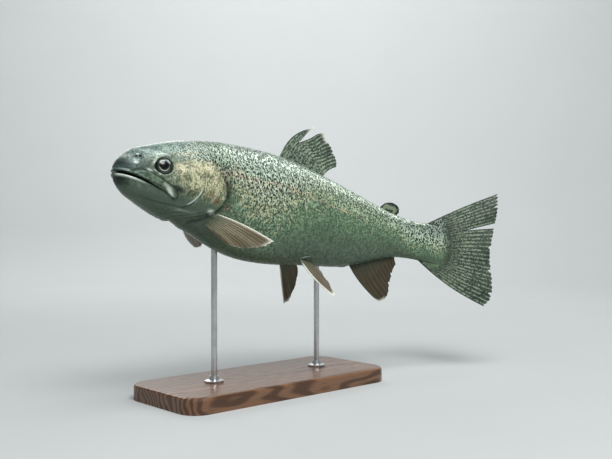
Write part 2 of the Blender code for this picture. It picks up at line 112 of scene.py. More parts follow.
def bodySection(x, angle):  # y and z of the bare body, for columns of x and rows of angle
    length = trout["length"]
    share = x / length
    nose = 1 - np.clip(share / trout["noseRound"], 0, 1)
    tail = 1 - np.clip((trout["fleshEnd"] - share) / trout["stalkRound"], 0, 1)
    rounded = np.sqrt(np.maximum(1 - nose**2, 0)) * np.sqrt(np.maximum(1 - tail**2, 0))
    pole = np.where(share < 0.5, trout["mouthHeight"], 0.0)
    top = pole + (profile["back"](share) - pole) * rounded
    low = pole + (profile["belly"](share) - pole) * rounded
    wide = profile["halfWidth"](share) * rounded
    middle = (top + low) / 2
    c, s = np.cos(angle), np.sin(angle)
    power = 2 / np.where(s > 0, profile["squareTop"](share), profile["squareLow"](share))
    reach = (top - low) / 2
    y = wide * np.sign(c) * np.abs(c) ** power
    z = middle + reach * np.sign(s) * np.abs(s) ** power
    return y * length, z * length


def swim(points):  # curves straight points along the swimming axis and sets them over the stand
    step = 0.001
    share = np.arange(-0.06, 1.30, step)
    away = share - 0.5
    heading = trout["turn"] * away + trout["turnGrows"] * away**2
    rise = trout["arch"] * away
    ways = np.stack([np.cos(heading) * np.cos(rise), np.sin(heading) * np.cos(rise), np.sin(rise)], axis=1)
    axis = np.cumsum(ways, axis=0) * step * trout["length"]
    axis -= axis[int(np.argmin(abs(away)))]
    at = points[:, 0] / trout["length"]
    place = np.stack([np.interp(at, share, axis[:, k]) for k in range(3)], axis=1)
    turn, lift = np.interp(at, share, heading), np.interp(at, share, rise)
    side = np.stack([-np.sin(turn), np.cos(turn), 0 * turn], axis=1)
    up = np.stack([-np.cos(turn) * np.sin(lift), -np.sin(turn) * np.sin(lift), np.cos(lift)], axis=1)
    place = place + side * points[:, 1:2] + up * points[:, 2:3]
    tip, roll = math.radians(trout["noseUp"]), math.radians(trout["bank"])
    tipped = np.array([[math.cos(tip), 0, math.sin(tip)], [0, 1, 0], [-math.sin(tip), 0, math.cos(tip)]])
    rolled = np.array([[1, 0, 0], [0, math.cos(roll), -math.sin(roll)], [0, math.sin(roll), math.cos(roll)]])
    return place @ (tipped @ rolled).T + np.array(trout["middleAt"])


def ease(value, low, high):  # nought at low, 1 at high, and smooth between
    t = np.clip((value - low) / (high - low), 0, 1)
    return t * t * (3 - 2 * t)


def hump(distance, width):  # 1 at no distance, fading on both sides
    return np.exp(-((distance / width) ** 2))


def walkCurve(points, count):  # evenly spaced places on a smooth curve through the points
    points = np.array([tuple(p) for p in points], float)
    along = np.concatenate([[0], np.cumsum(np.linalg.norm(np.diff(points, axis=0), axis=1))])
    at = np.linspace(0, along[-1], count)
    return np.stack([smoothThrough(np.stack([along, part], axis=1))(at) for part in points.T], axis=1)


def curveDistance(points, x, z, count=90):  # distance, positive on the curve's left, and the share along
    curve = walkCurve(points, count)
    start, way = curve[:-1], np.diff(curve, axis=0)
    size = (way**2).sum(axis=1)
    best = np.full(x.shape, 9.0)
    signed, share = np.zeros(x.shape), np.zeros(x.shape)
    for i in range(len(start)):
        dx, dz = x - start[i, 0], z - start[i, 1]
        t = np.clip((dx * way[i, 0] + dz * way[i, 1]) / size[i], 0, 1)
        far = np.hypot(dx - t * way[i, 0], dz - t * way[i, 1])
        nearer = far < best
        sign = np.where(way[i, 0] * dz - way[i, 1] * dx >= 0, 1.0, -1.0)
        signed = np.where(nearer, sign * far, signed)
        share = np.where(nearer, (i + t) / len(start), share)
        best = np.where(nearer, far, best)
    return signed, share


def outlineDistance(points, x, z, count=120):  # distance to a closed outline, positive inside it
    far, _ = curveDistance((*points, points[0]), x, z, count)
    curve = walkCurve((*points, points[0]), count)
    inside = np.zeros(x.shape, bool)
    for (aX, aZ), (bX, bZ) in zip(curve[:-1], curve[1:]):
        if aZ != bZ:
            crosses = ((aZ > z) != (bZ > z)) & (x < (bX - aX) * (z - aZ) / (bZ - aZ) + aX)
            inside ^= crosses
    return np.where(inside, np.abs(far), -np.abs(far))


def ringFaces(rings, around, first=0):  # quads that join rings of points, each ring to the next
    index = first + np.arange(rings * around).reshape(rings, around)
    a, b = index[:-1], index[1:]
    return np.stack([a, b, np.roll(b, -1, axis=1), np.roll(a, -1, axis=1)], axis=-1).reshape(-1, 4).tolist()


def fanFaces(tip, first, around):
    return [[tip, first + k, first + (k + 1) % around] for k in range(around)]


def sheetFaces(columns, rows):  # quads of one sheet, and the number of each of its points
    index = np.arange(columns * rows).reshape(columns, rows)
    a, b = index[:-1], index[1:]
    return index, np.stack([a[:, :-1], b[:, :-1], b[:, 1:], a[:, 1:]], axis=-1).reshape(-1, 4)


def unit(vectors):
    return vectors / np.maximum(np.linalg.norm(vectors, axis=-1, keepdims=True), 1e-12)


def outward(verts, faces):  # turns a closed mesh the right way out
    verts = np.asarray(verts)
    fans = [(f[0], f[k], f[k + 1]) for f in faces for k in range(1, len(f) - 1)]
    a, b, c = (verts[[fan[k] for fan in fans]] for k in range(3))
    inside = np.einsum("ij,ij->i", a, np.cross(b, c)).sum() < 0
    return [list(f[::-1]) for f in faces] if inside else faces


def writeFact(mesh, name, values):
    values = np.asarray(values, np.float32)
    kind, slot = ("FLOAT_VECTOR", "vector") if values.ndim == 2 else ("FLOAT", "value")
    if name in mesh.attributes:
        mesh.attributes.remove(mesh.attributes[name])
    mesh.attributes.new(name, kind, "POINT").data.foreach_set(slot, values.ravel())


def placed(name, mesh, sharp=None):  # puts a mesh in the scene, smooth but for edges past the sharp angle
    mesh.shade_smooth()
    if sharp:
        mesh.set_sharp_from_angle(angle=math.radians(sharp))
    piece = bpy.data.objects.new(name, mesh)
    collection.objects.link(piece)
    return piece


def newPiece(name, verts, faces, finish, facts=None, sharp=None):
    mesh = bpy.data.meshes.new(name)
    mesh.from_pydata(np.asarray(verts).tolist(), [], faces)
    for key, values in (facts or {}).items():
        writeFact(mesh, key, values)
    mesh.materials.append(finish)
    return placed(name, mesh, sharp)


def hand(piece, slot, *replaced):  # ties a finished piece to the frame
    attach(piece, "root")
    if replaced:
        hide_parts(*replaced)
    print(piece.name, len(piece.data.polygons), "faces")


# Small helpers for shader nodes
def put(tree, kind, inputs=None, **settings):
    node = tree.nodes.new(kind)
    for name, value in settings.items():
        setattr(node, name, value)
    for key, value in (inputs or {}).items():
        if isinstance(value, bpy.types.NodeSocket):
            tree.links.new(value, node.inputs[key])
        else:
            node.inputs[key].default_value = value
    return node


def work(tree, operation, first, *others):  # one sum over as many values as are given
    if not others:
        return put(tree, "ShaderNodeMath", {0: first}, operation=operation).outputs[0]
    for other in others:
        first = put(tree, "ShaderNodeMath", {0: first, 1: other}, operation=operation).outputs[0]
    return first


def times(tree, *values):
    return work(tree, "MULTIPLY", *values)


def plus(tree, *values):
    return work(tree, "ADD", *values)


def minus(tree, *values):
    return work(tree, "SUBTRACT", *values)


def zigzag(tree, value):  # up to a half and down again over every unit
    return work(tree, "PINGPONG", value, 0.5)


def remap(tree, value, low, high, toLow=0.0, toHigh=1.0, smooth=True):
    kind = "SMOOTHSTEP" if smooth else "LINEAR"
    return put(tree, "ShaderNodeMapRange", {0: value, 1: low, 2: high, 3: toLow, 4: toHigh},
               interpolation_type=kind).outputs[0]


def sway(tree, value, low, high, reach):  # a small straight wander to both sides of nought
    return remap(tree, value, low, high, -reach, reach, smooth=False)


def within(tree, value, stretch):  # 1 inside a stretch that fades in and out: from, full from, full to, to
    start, risen, falling, end = stretch
    return times(tree, remap(tree, value, start, risen), remap(tree, value, end, falling))


def mixed(tree, factor, a, b):
    a, b = ((*c, 1.0) if isinstance(c, tuple) else c for c in (a, b))
    return put(tree, "ShaderNodeMix", {0: factor, 6: a, 7: b}, data_type="RGBA").outputs[2]


def noise(tree, vector, scale, detail=2.0, rough=0.5):
    return put(tree, "ShaderNodeTexNoise", {"Vector": vector, "Scale": scale, "Detail": detail,
                                            "Roughness": rough}).outputs[0]


def cells(tree, vector, scale):
    return put(tree, "ShaderNodeTexVoronoi", {"Vector": vector, "Scale": scale}).outputs[0]


def stretched(tree, vector, x, y, z):
    return put(tree, "ShaderNodeVectorMath", {0: vector, 1: (x, y, z)}, operation="MULTIPLY").outputs[0]


def moved(tree, vector, by):
    return put(tree, "ShaderNodeVectorMath", {0: vector, 1: by}, operation="ADD").outputs[0]


def shaken(tree, vector, place, scale, reach):  # moves a pattern's vector about by a noise at the place
    drift = put(tree, "ShaderNodeTexNoise", {"Vector": place, "Scale": scale}).outputs[1]
    return moved(tree, vector, stretched(tree, drift, *reach))


def parts(tree, vector):
    return put(tree, "ShaderNodeSeparateXYZ", {0: vector}).outputs


def fact(tree, name, output="Fac"):
    return put(tree, "ShaderNodeAttribute", attribute_name=name).outputs[output]


plainShine = 0.22  # what every finish reflects before its clear coat


def newFinish(name, **fixed):
    finish = bpy.data.materials.new(name)
    finish.use_nodes = True
    tree = finish.node_tree
    shader = tree.nodes["Principled BSDF"]
    for key, value in fixed.items():
        words = "".join(" " + c if c.isupper() else c for c in key).title().replace("Ior", "IOR")
        shader.inputs[words].default_value = value
    shader.inputs["Specular IOR Level"].default_value = plainShine
    return finish, tree, shader


def wear(tree, shader, colour, roughness=None, metal=None):
    for value, name in ((colour, "Base Color"), (roughness, "Roughness"), (metal, "Metallic")):
        if value is not None:
            tree.links.new(value, shader.inputs[name])


def bumped(tree, shader, height, distance, strength=1.0):
    bump = put(tree, "ShaderNodeBump", {"Strength": strength, "Distance": distance, "Height": height})
    tree.links.new(bump.outputs[0], shader.inputs["Normal"])


# Markings that the skin and the scales share, painted by the place on the straight fish
markings = {
    # the tones from back to throat are the trout's own olive greens with painted light in them: lightest on
    # the upper flank as painted top light, darkest on the low flank, belly and throat as painted shade
    "back": (0.280, 0.375, 0.290),
    "upperFlank": (0.380, 0.530, 0.362),
    "flank": (0.256, 0.412, 0.248),
    "lowFlank": (0.114, 0.194, 0.114),
    "belly": (0.096, 0.146, 0.094),
    "throat": (0.074, 0.110, 0.076),
    "cream": (0.760, 0.710, 0.500),
    "dust": (0.520, 0.620, 0.540),
    "blush": (0.330, 0.200, 0.140),
    "spot": (0.020, 0.032, 0.024),
    "spotSpacing": 0.0030,
    "mottle": (0.048, 0.078, 0.050),
    "headLow": (0.058, 0.090, 0.064),
    "headHigh": (0.190, 0.250, 0.180),
    "bronze": (0.130, 0.155, 0.085),
    "gilt": (0.660, 0.640, 0.400),
    "steel": (0.040, 0.068, 0.068),
    "crown": (0.270, 0.360, 0.320),
    "paleAndHighlight": (0.660, 0.740, 0.660),
    "shadow": (0.006, 0.008, 0.007),
    "ruddy": (0.110, 0.030, 0.018),
    "pore": (0.380, 0.270, 0.200),
    "tailDusk": (0.042, 0.052, 0.037),
    "glint": (0.460, 0.480, 0.360),
    "finEdge": (0.780, 0.780, 0.680),
    "scaleShine": (0.640, 0.740, 0.640),
    "scaleGold": (0.660, 0.680, 0.390),
    "scaleTeal": (0.400, 0.580, 0.430),
    "scaleRose": (0.800, 0.580, 0.440),
}
# Where they lie along x from the snout: four numbers are from, full from, full to and to, and a pair is from
# none to full
markingPlaces = {
    "darkAmidships": (0.215, 0.290, 0.410, 0.460),
    "brightFore": (0.130, 0.165, 0.200, 0.235),
    "brightAft": (0.400, 0.455),
    "head": (0.118, 0.090),
    "crown": (0.100, 0.060),
    "snout": (0.048, 0.016),
    "jaw": (0.128, 0.100),
    "throat": (0.170, 0.110),
    "dust": (0.042, 0.085),
    "tailDusk": (0.500, 0.515),
}


def markedBody(tree, at):  # the trunk's colours from back to belly: the trout's own greens, lightest high on the flank as painted top light and darkest low down as painted shade under the belly
    body = mixed(tree, remap(tree, at.soft, 0.30, 0.95), markings["upperFlank"], markings["back"])
    body = mixed(tree, remap(tree, at.soft, 0.22, -0.10), body, markings["flank"])
    body = mixed(tree, remap(tree, at.soft, -0.06, -0.36), body, markings["lowFlank"])
    body = mixed(tree, remap(tree, at.soft, -0.45, -0.75), body, markings["belly"])
    band = within(tree, at.soft, (-0.34, -0.10, 0.06, 0.30))
    body = mixed(tree, times(tree, band, remap(tree, at.x, 0.07, 0.38, 0.62, 0.10)), body, markings["blush"])
    mottle = noise(tree, stretched(tree, at.place, 1.5, 1.0, 0.55), 300.0, 3.0, 0.62)
    dusk = remap(tree, at.soft, 0.10, 0.40, 0.80, 0.50)
    body = mixed(tree, times(tree, remap(tree, mottle, 0.44, 0.60), dusk), body, markings["mottle"])
    pore = times(tree, remap(tree, work(tree, "ABSOLUTE", at.girth), 0.024, 0.008),
                 remap(tree, at.x, 0.100, 0.115), remap(tree, at.x, 0.400, 0.300, 0.12, 0.55))
    body = mixed(tree, pore, body, markings["pore"])
    # painted shade on the underside of the head and the throat, darker towards the bottom
    throat = times(tree, remap(tree, at.soft, -0.30, -0.60), remap(tree, at.x, *markingPlaces["throat"]))
    return mixed(tree, throat, body, markings["throat"])


def markedHead(tree, at, body):
    head = remap(tree, at.x, *markingPlaces["head"])
    smudge = noise(tree, stretched(tree, at.place, 1.0, 1.0, 0.7), 150.0, 4.0, 0.6)
    speck = noise(tree, stretched(tree, at.place, 1.0, 1.0, 0.65), 620.0, 2.0, 0.6)
    lumps = plus(tree, times(tree, smudge, 0.5), times(tree, speck, 0.5))
    skull = mixed(tree, remap(tree, lumps, 0.42, 0.60), markings["headLow"], markings["headHigh"])
    body = mixed(tree, times(tree, head, 0.75), body, skull)
    top = times(tree, remap(tree, at.x, *markingPlaces["crown"]), remap(tree, at.z, 0.008, 0.026))
    snout = times(tree, remap(tree, at.x, *markingPlaces["snout"]), remap(tree, at.z, -0.014, 0.002))
    # painted shade on the lower jaw, darker towards the bottom
    jaw = times(tree, remap(tree, at.x, *markingPlaces["jaw"]), remap(tree, at.z, -0.006, -0.026))
    dust = times(tree, remap(tree, at.x, *markingPlaces["dust"]), remap(tree, at.z, 0.012, 0.026), head,
                 remap(tree, speck, 0.46, 0.56, 0.0, 0.85))
    gilded = mixed(tree, remap(tree, lumps, 0.44, 0.58), markings["bronze"], markings["gilt"])
    layers = (
        (times(tree, top, remap(tree, smudge, 0.2, 0.8, 1.0, 0.55)), markings["steel"]),
        (times(tree, snout, 0.85), markings["steel"]),
        (times(tree, top, remap(tree, lumps, 0.40, 0.56, 0.10, 0.85)), markings["crown"]),
        (times(tree, jaw, 0.92), markings["throat"]),
        (times(tree, fact(tree, "bronze"), remap(tree, at.patch, 0.3, 0.7, 0.60, 0.95)), gilded),
        (dust, markings["dust"]),
        (times(tree, fact(tree, "cream"), remap(tree, speck, 0.42, 0.56, 0.20, 1.0)), markings["cream"]),
        # dark touches, mostly painted shade
        (times(tree, fact(tree, "dark"), remap(tree, smudge, 0.2, 0.7, 1.0, 0.75)), markings["shadow"]),
        (fact(tree, "ruddy"), markings["ruddy"]),
        # pale marks and painted highlights
        (fact(tree, "pale"), markings["paleAndHighlight"]),
    )
    for share, colour in layers:
        body = mixed(tree, share, body, colour)
    return body


def spotShare(tree, at):  # spots, more upright than wide, and fewer low on the flank and on the gill covers
    spacing = markings["spotSpacing"]
    bent = shaken(tree, stretched(tree, at.place, 1.35, 0.85, 0.85), at.place, 260.0, (0.0024,) * 3)
    large, small = cells(tree, bent, 1 / spacing), cells(tree, bent, 1.9 / spacing)
    reach = times(tree, remap(tree, at.soft, -0.75, 0.20, 0.14, 0.46),
                  remap(tree, at.x, 0.050, 0.125, 0.45, 1.0),
                  remap(tree, fact(tree, "bronze"), 0.1, 0.8, 1.0, 0.50))
    spots = remap(tree, minus(tree, large, reach), 0.07, -0.03)
    fine = remap(tree, minus(tree, small, times(tree, reach, 0.72)), 0.06, -0.05)
    return work(tree, "MAXIMUM", spots, times(tree, fine, 0.75))


def makeMarkings():
    tree = bpy.data.node_groups.new("troutMarkings", "ShaderNodeTree")
    for name, kind in (("Colour", "Color"), ("Spots", "Float"), ("Height", "Float")):
        tree.interface.new_socket(name, in_out="OUTPUT", socket_type="NodeSocket" + kind)
    out = tree.nodes.new("NodeGroupOutput")
    place = fact(tree, "bodyPlace", "Vector")
    x, _, z = parts(tree, place)
    girth = fact(tree, "girthPlace")  # 1 on the back, 0 on the lateral line, -1 under the belly
    patch = noise(tree, place, 55.0, 3.0)
    soft = plus(tree, girth, sway(tree, patch, 0.25, 0.75, 0.12))
    # soft also sets the painted top light and shade of the trunk's tones: these shifts make it darker
    # amidships and lighter fore and aft
    soft = minus(tree, soft, times(tree, within(tree, x, markingPlaces["darkAmidships"]), 0.28))
    soft = plus(tree, soft, times(tree, within(tree, x, markingPlaces["brightFore"]), 0.18))
    soft = plus(tree, soft, remap(tree, x, *markingPlaces["brightAft"], 0.0, 0.12))
    at = SimpleNamespace(place=place, x=x, z=z, girth=girth, patch=patch, soft=soft)
    body = markedHead(tree, at, markedBody(tree, at))
    spots = spotShare(tree, at)
    body = mixed(tree, spots, body, markings["spot"])
    # painted shade in the creases and hollows, in the mouth and behind the gill edge
    body = mixed(tree, fact(tree, "creaseShade"), body, markings["shadow"])
    ending = remap(tree, plus(tree, x, sway(tree, patch, 0.3, 0.7, 0.004)), *markingPlaces["tailDusk"])
    body = mixed(tree, times(tree, ending, 0.80), body, markings["tailDusk"])
    for socket, value in zip(out.inputs, (body, spots, soft)):
        tree.links.new(value, socket)
    return tree


markingTree = makeMarkings()


def makeSkinFinish():
    finish, tree, shader = newFinish("troutSkin", coatWeight=0.12, coatRoughness=0.14)
    marks = put(tree, "ShaderNodeGroup", node_tree=markingTree).outputs
    place = fact(tree, "bodyPlace", "Vector")
    grain = noise(tree, place, 420.0, 4.0, 0.6)
    dapple = noise(tree, place, 130.0, 3.0, 0.55)
    x, _, z = parts(tree, place)
    hidden = work(tree, "MAXIMUM", fact(tree, "creaseShade"), fact(tree, "dark"))
    glint = times(tree, remap(tree, grain, 0.52, 0.68, 0.0, 0.45), remap(tree, z, -0.020, 0.004),
                  remap(tree, x, 0.030, 0.070, 0.40, 1.0), remap(tree, hidden, 0.0, 0.6, 1.0, 0.0))
    wear(tree, shader, mixed(tree, glint, marks["Colour"], markings["glint"]),
         remap(tree, grain, 0.3, 0.7, 0.26, 0.46),
         times(tree, remap(tree, dapple, 0.35, 0.65, 0.10, 0.45), minus(tree, 1.0, marks["Spots"])))
    bumped(tree, shader, plus(tree, times(tree, grain, 0.5), dapple), 0.0007, 0.6)
    return finish


def makeScaleFinish():
    finish, tree, shader = newFinish("troutScales", coatWeight=0.05, coatRoughness=0.15)
    marks = put(tree, "ShaderNodeGroup", node_tree=markingTree).outputs
    tint, rim, girth = (fact(tree, name) for name in ("scaleTint", "scaleRim", "girthPlace"))
    place = fact(tree, "bodyPlace", "Vector")
    x, height = parts(tree, place)[0], marks["Height"]
    free = minus(tree, 1.0, marks["Spots"])
    lit = remap(tree, height, -0.30, 0.40)
    shine = times(tree, plus(tree, remap(tree, tint, 0.38, 0.82, 0.0, 0.72), times(tree, lit, 0.28)),
                  remap(tree, height, -0.66, -0.04, 0.10, 1.0),
                  remap(tree, x, 0.515, 0.497),
                  remap(tree, x, 0.085, 0.145, 0.40, 1.0),
                  remap(tree, fact(tree, "dark"), 0.0, 0.7, 1.0, 0.1),
                  remap(tree, fact(tree, "creaseShade"), 0.0, 0.7, 1.0, 0.2),
                  remap(tree, rim, 0.95, 0.35))
    dull = times(tree, remap(tree, tint, 0.30, 0.05), 0.55)
    colour = mixed(tree, dull, marks["Colour"], markings["mottle"])
    bright = mixed(tree, remap(tree, noise(tree, place, 240.0, 2.0), 0.42, 0.60), markings["scaleGold"],
                   markings["scaleTeal"])
    bright = mixed(tree, lit, bright, markings["scaleShine"])
    line = times(tree, remap(tree, work(tree, "ABSOLUTE", girth), 0.10, 0.02),
                 remap(tree, x, 0.36, 0.25, 0.0, 0.50),
                 remap(tree, noise(tree, place, 90.0, 3.0), 0.35, 0.62, 0.25, 1.0))
    bright = mixed(tree, line, bright, markings["scaleRose"])
    colour = mixed(tree, times(tree, shine, free), colour, bright)
    colour = mixed(tree, remap(tree, rim, 0.72, 1.0, 0.0, 0.45), colour, markings["mottle"])
    metal = times(tree, free, remap(tree, tint, 0.0, 1.0, 0.30, 0.90),
                  remap(tree, girth, 0.0, 0.6, 0.20, 1.0))
    wear(tree, shader, colour, remap(tree, tint, 0.0, 1.0, 0.40, 0.24), metal)
    bumped(tree, shader, noise(tree, place, 900.0, 2.0), 0.00025, 0.5)
    return finish


skinFinish = makeSkinFinish()
scaleFinish = makeScaleFinish()

# Folds, plates and openings of the head, as curves of (x, z) on its side
headParts = {
    "gape": ((-0.012, -0.0046), (0.001, -0.0047), (0.010, -0.0064), (0.018, -0.0087), (0.0264, -0.0113),
             (0.040, -0.0163), (0.052, -0.0210), (0.062, -0.0262)),
    # half the gape's height, and its depth, at places of x
    "gapeHalf": ((0.0, 0.012, 0.027, 0.040, 0.062), (0.00115, 0.00115, 0.0008, 0.0003, 0.0001)),
    "gapeDepth": ((0.0, 0.004, 0.016, 0.030, 0.050, 0.063), (0.0055, 0.0055, 0.0060, 0.0038, 0.0012, 0.0)),
    "maxilla": ((0.013, -0.0048), (0.022, -0.0020), (0.036, -0.0052), (0.050, -0.0112), (0.0612, -0.0190),
                (0.0632, -0.0236), (0.0600, -0.0252), (0.048, -0.0176), (0.027, -0.0104)),
    "supramaxilla": ((0.0375, -0.0068), (0.047, -0.0104), (0.0560, -0.0155), (0.0598, -0.0195),
                     (0.0560, -0.0185), (0.046, -0.0136)),
    "jawFold": ((0.024, -0.0262), (0.036, -0.0292), (0.050, -0.0313), (0.0713, -0.0327), (0.090, -0.0352),
                (0.106, -0.0338)),
    "eyeAt": (0.0457, 0.0064),
    "eyeOpening": 0.0086,
    "throatRaySpacing": 0.0034,
    "nostrils": ((0.0172, 0.0128, 0.0010), (0.0211, 0.0134, 0.0013)),
    "preopercle": ((0.0855, 0.0170), (0.0905, 0.0080), (0.0925, -0.0030), (0.0905, -0.0140),
                   (0.0850, -0.0225), (0.0775, -0.0290), (0.0690, -0.0322)),
    "innerRidge": ((0.0800, 0.0130), (0.0835, 0.0020), (0.0825, -0.0090), (0.0770, -0.0185),
                   (0.0690, -0.0245)),
    "gillEdge": ((0.0955, 0.0268), (0.1030, 0.0232), (0.1085, 0.0175), (0.1148, 0.0096), (0.1202, 0.0010),
                 (0.1228, -0.0080), (0.1218, -0.0160), (0.1178, -0.0235), (0.1110, -0.0300),
                 (0.1005, -0.0358), (0.0880, -0.0398), (0.0760, -0.0425), (0.0640, -0.0445)),
    "subopercle": ((0.0905, -0.0150), (0.0990, -0.0185), (0.1090, -0.0185), (0.1180, -0.0140),
                   (0.1225, -0.0075)),
    "nape": ((0.0955, 0.0268), (0.0925, 0.0340), (0.0915, 0.0420), (0.0930, 0.0560)),
    "lateralLine": ((0.100, 0.0130), (0.151, 0.0155), (0.209, 0.0172), (0.287, 0.0118), (0.360, 0.0066),
                    (0.430, 0.0028), (0.520, 0.0)),
}
lateralHeight = smoothThrough(headParts["lateralLine"])

# Touches of colour on the side of the head: middle x and z, half length, half height, turn and strength
headTouches = {
    # pale touches: mostly painted highlights, on the brow above the eye, round the nostril, at the maxilla's
    # end, along the gill edge and at the pectoral root, with some pale marks of the skin
    "pale": ((0.0190, 0.0150, 0.0013, 0.0010, 0, 0.90), (0.0451, 0.0194, 0.0045, 0.0008, 0, 0.50),
             (0.0298, -0.0004, 0.0030, 0.0014, -18, 0.90), (0.0365, 0.0002, 0.0034, 0.0008, -15, 0.50),
             (0.0408, -0.0027, 0.0018, 0.0010, -20, 0.80), (0.0566, -0.0040, 0.0012, 0.0009, 0, 0.70),
             (0.0165, 0.0062, 0.0020, 0.0013, 0, 0.50), (0.0095, 0.0130, 0.0040, 0.0022, 25, 0.35),
             (0.0532, -0.0180, 0.0064, 0.0020, -45, 0.95), (0.0470, -0.0132, 0.0028, 0.0010, -40, 0.50),
             (0.1078, -0.0319, 0.0045, 0.0024, -15, 0.80), (0.1212, -0.0180, 0.0007, 0.0048, 0, 0.40),
             (0.0886, -0.0165, 0.0085, 0.0012, 70, 0.80), (0.0790, -0.0345, 0.0150, 0.0012, 0, 0.20),
             (0.1279, -0.0483, 0.0012, 0.0010, 0, 0.60)),
    # dark touches: mostly painted shade, over the maxilla, under the brow and the cheek, round the nostrils
    # and the eye, in the hollow under the pectoral root and behind the gill cover, with dark patches on the
    # snout and the chin tip
    "dark": ((0.0057, 0.0048, 0.0070, 0.0026, 0, 0.75), (0.0062, -0.0132, 0.0078, 0.0052, -25, 1.0),
             (0.0447, 0.0166, 0.0065, 0.0007, 0, 0.60), (0.0470, -0.0098, 0.0085, 0.0008, -27, 0.85),
             (0.0625, -0.0146, 0.0066, 0.0028, -22, 0.90), (0.0775, -0.0165, 0.0070, 0.0044, -10, 0.50),
             (0.0140, 0.0120, 0.0016, 0.0014, 0, 0.60), (0.0235, 0.0150, 0.0018, 0.0014, 0, 0.60),
             (0.1152, -0.0410, 0.0062, 0.0042, 10, 0.90), (0.1275, -0.0060, 0.0055, 0.0150, 8, 0.65)),
    "cream": ((0.0648, 0.0062, 0.0070, 0.0068, 0, 1.0), (0.0975, 0.0142, 0.0085, 0.0060, -35, 0.95),
              (0.1075, 0.0000, 0.0060, 0.0095, 0, 0.75), (0.0790, 0.0085, 0.0065, 0.0075, 0, 0.55),
              (0.0735, 0.0252, 0.0120, 0.0028, 15, 0.60), (0.0600, 0.0215, 0.0080, 0.0022, 5, 0.35),
              (0.1160, -0.0345, 0.0085, 0.0028, -22, 0.35), (0.0705, 0.0125, 0.0050, 0.0035, 30, 0.80),
              (0.1010, 0.0165, 0.0045, 0.0040, -45, 1.0)),
    "ruddy": ((0.1040, -0.0150, 0.0080, 0.0042, -15, 0.45), (0.1104, -0.0205, 0.0042, 0.0036, 0, 0.70),
              (0.1275, -0.0242, 0.0060, 0.0040, 20, 0.60)),
}


def touched(name, x, z):
    most = np.zeros(x.shape)
    for atX, atZ, halfLength, halfHeight, turn, strength in headTouches[name]:
        c, s = math.cos(math.radians(turn)), math.sin(math.radians(turn))
        along = ((x - atX) * c + (z - atZ) * s) / halfLength
        across = ((z - atZ) * c - (x - atX) * s) / halfHeight
        most = np.maximum(most, strength * np.exp(-((along**2 + across**2) ** 1.4)))
    return most


# The head's relief: each maker moves the skin out or back, and marks painted shade in its creases, hollows,
# mouth and nostrils, and pale edges that are partly painted highlights, all at (x, z)
def mark(skin, name, strength):
    skin[name] = np.maximum(skin[name], strength)


def fadedEnds(share, starts, stops):  # nought at both ends of a curve, and whole between starts and stops
    return ease(share, 0.0, starts) * (1 - ease(share, stops, 1.0))


def shapeMouth(skin, x, z):
    gap, _ = curveDistance(headParts["gape"], x, z)
    half = np.interp(x, *headParts["gapeHalf"])
    inside = 1 - ease(np.abs(gap), half - 0.0002, half + 0.0007)
    front = 1 - ease(x, 0.026, 0.040)
    skin["out"] -= np.interp(x, *headParts["gapeDepth"]) * inside
    skin["out"] += 0.0007 * hump(gap + half + 0.0013, 0.0010) * front  # lower lip
    skin["out"] += 0.0005 * hump(gap - half - 0.0011, 0.0009) * front  # upper lip
    skin["out"] -= 0.00045 * hump(gap - half - 0.0036, 0.0009) * (1 - ease(x, 0.012, 0.022))
    skin["out"] -= 0.00045 * hump(gap + half + 0.0040, 0.0011) * front
    mark(skin, "creaseShade", ease(inside, 0.2, 0.9) * (1 - 0.5 * ease(x, 0.030, 0.045)))
    lip = (1 - ease(x, 0.014, 0.034)) * ease(x, 0.0, 0.003)
    mark(skin, "pale", 0.95 * hump(gap + half + 0.0015, 0.0011) * lip)

    strap = outlineDistance(headParts["maxilla"], x, z)
    skin["out"] += 0.0013 * ease(strap, -0.0003, 0.0010)
    rim = hump(strap + 0.0011, 0.0008) * ease(gap, 0.0008, 0.0030)
    skin["out"] -= 0.0010 * rim
    mark(skin, "creaseShade", 0.75 * rim * ease(x, 0.016, 0.030))
    plate = outlineDistance(headParts["supramaxilla"], x, z)
    skin["out"] += 0.0005 * ease(plate, -0.0002, 0.0006)
    under = hump(gap + half + 0.0007, 0.0006) * ease(x, 0.030, 0.040) * (1 - ease(x, 0.060, 0.064))
    skin["out"] -= 0.0006 * under
    mark(skin, "creaseShade", 0.5 * under)
    skin["out"] -= 0.0012 * hump(np.hypot(x - 0.0680, z + 0.0262), 0.0038)  # hollow at the mouth's corner

    fold, _ = curveDistance(headParts["jawFold"], x, z)
    faded = ease(x, 0.022, 0.034) * (1 - ease(x, 0.098, 0.108))
    skin["out"] -= 0.0007 * hump(fold, 0.0009) * faded
    mark(skin, "creaseShade", 0.30 * hump(fold, 0.0008) * faded)


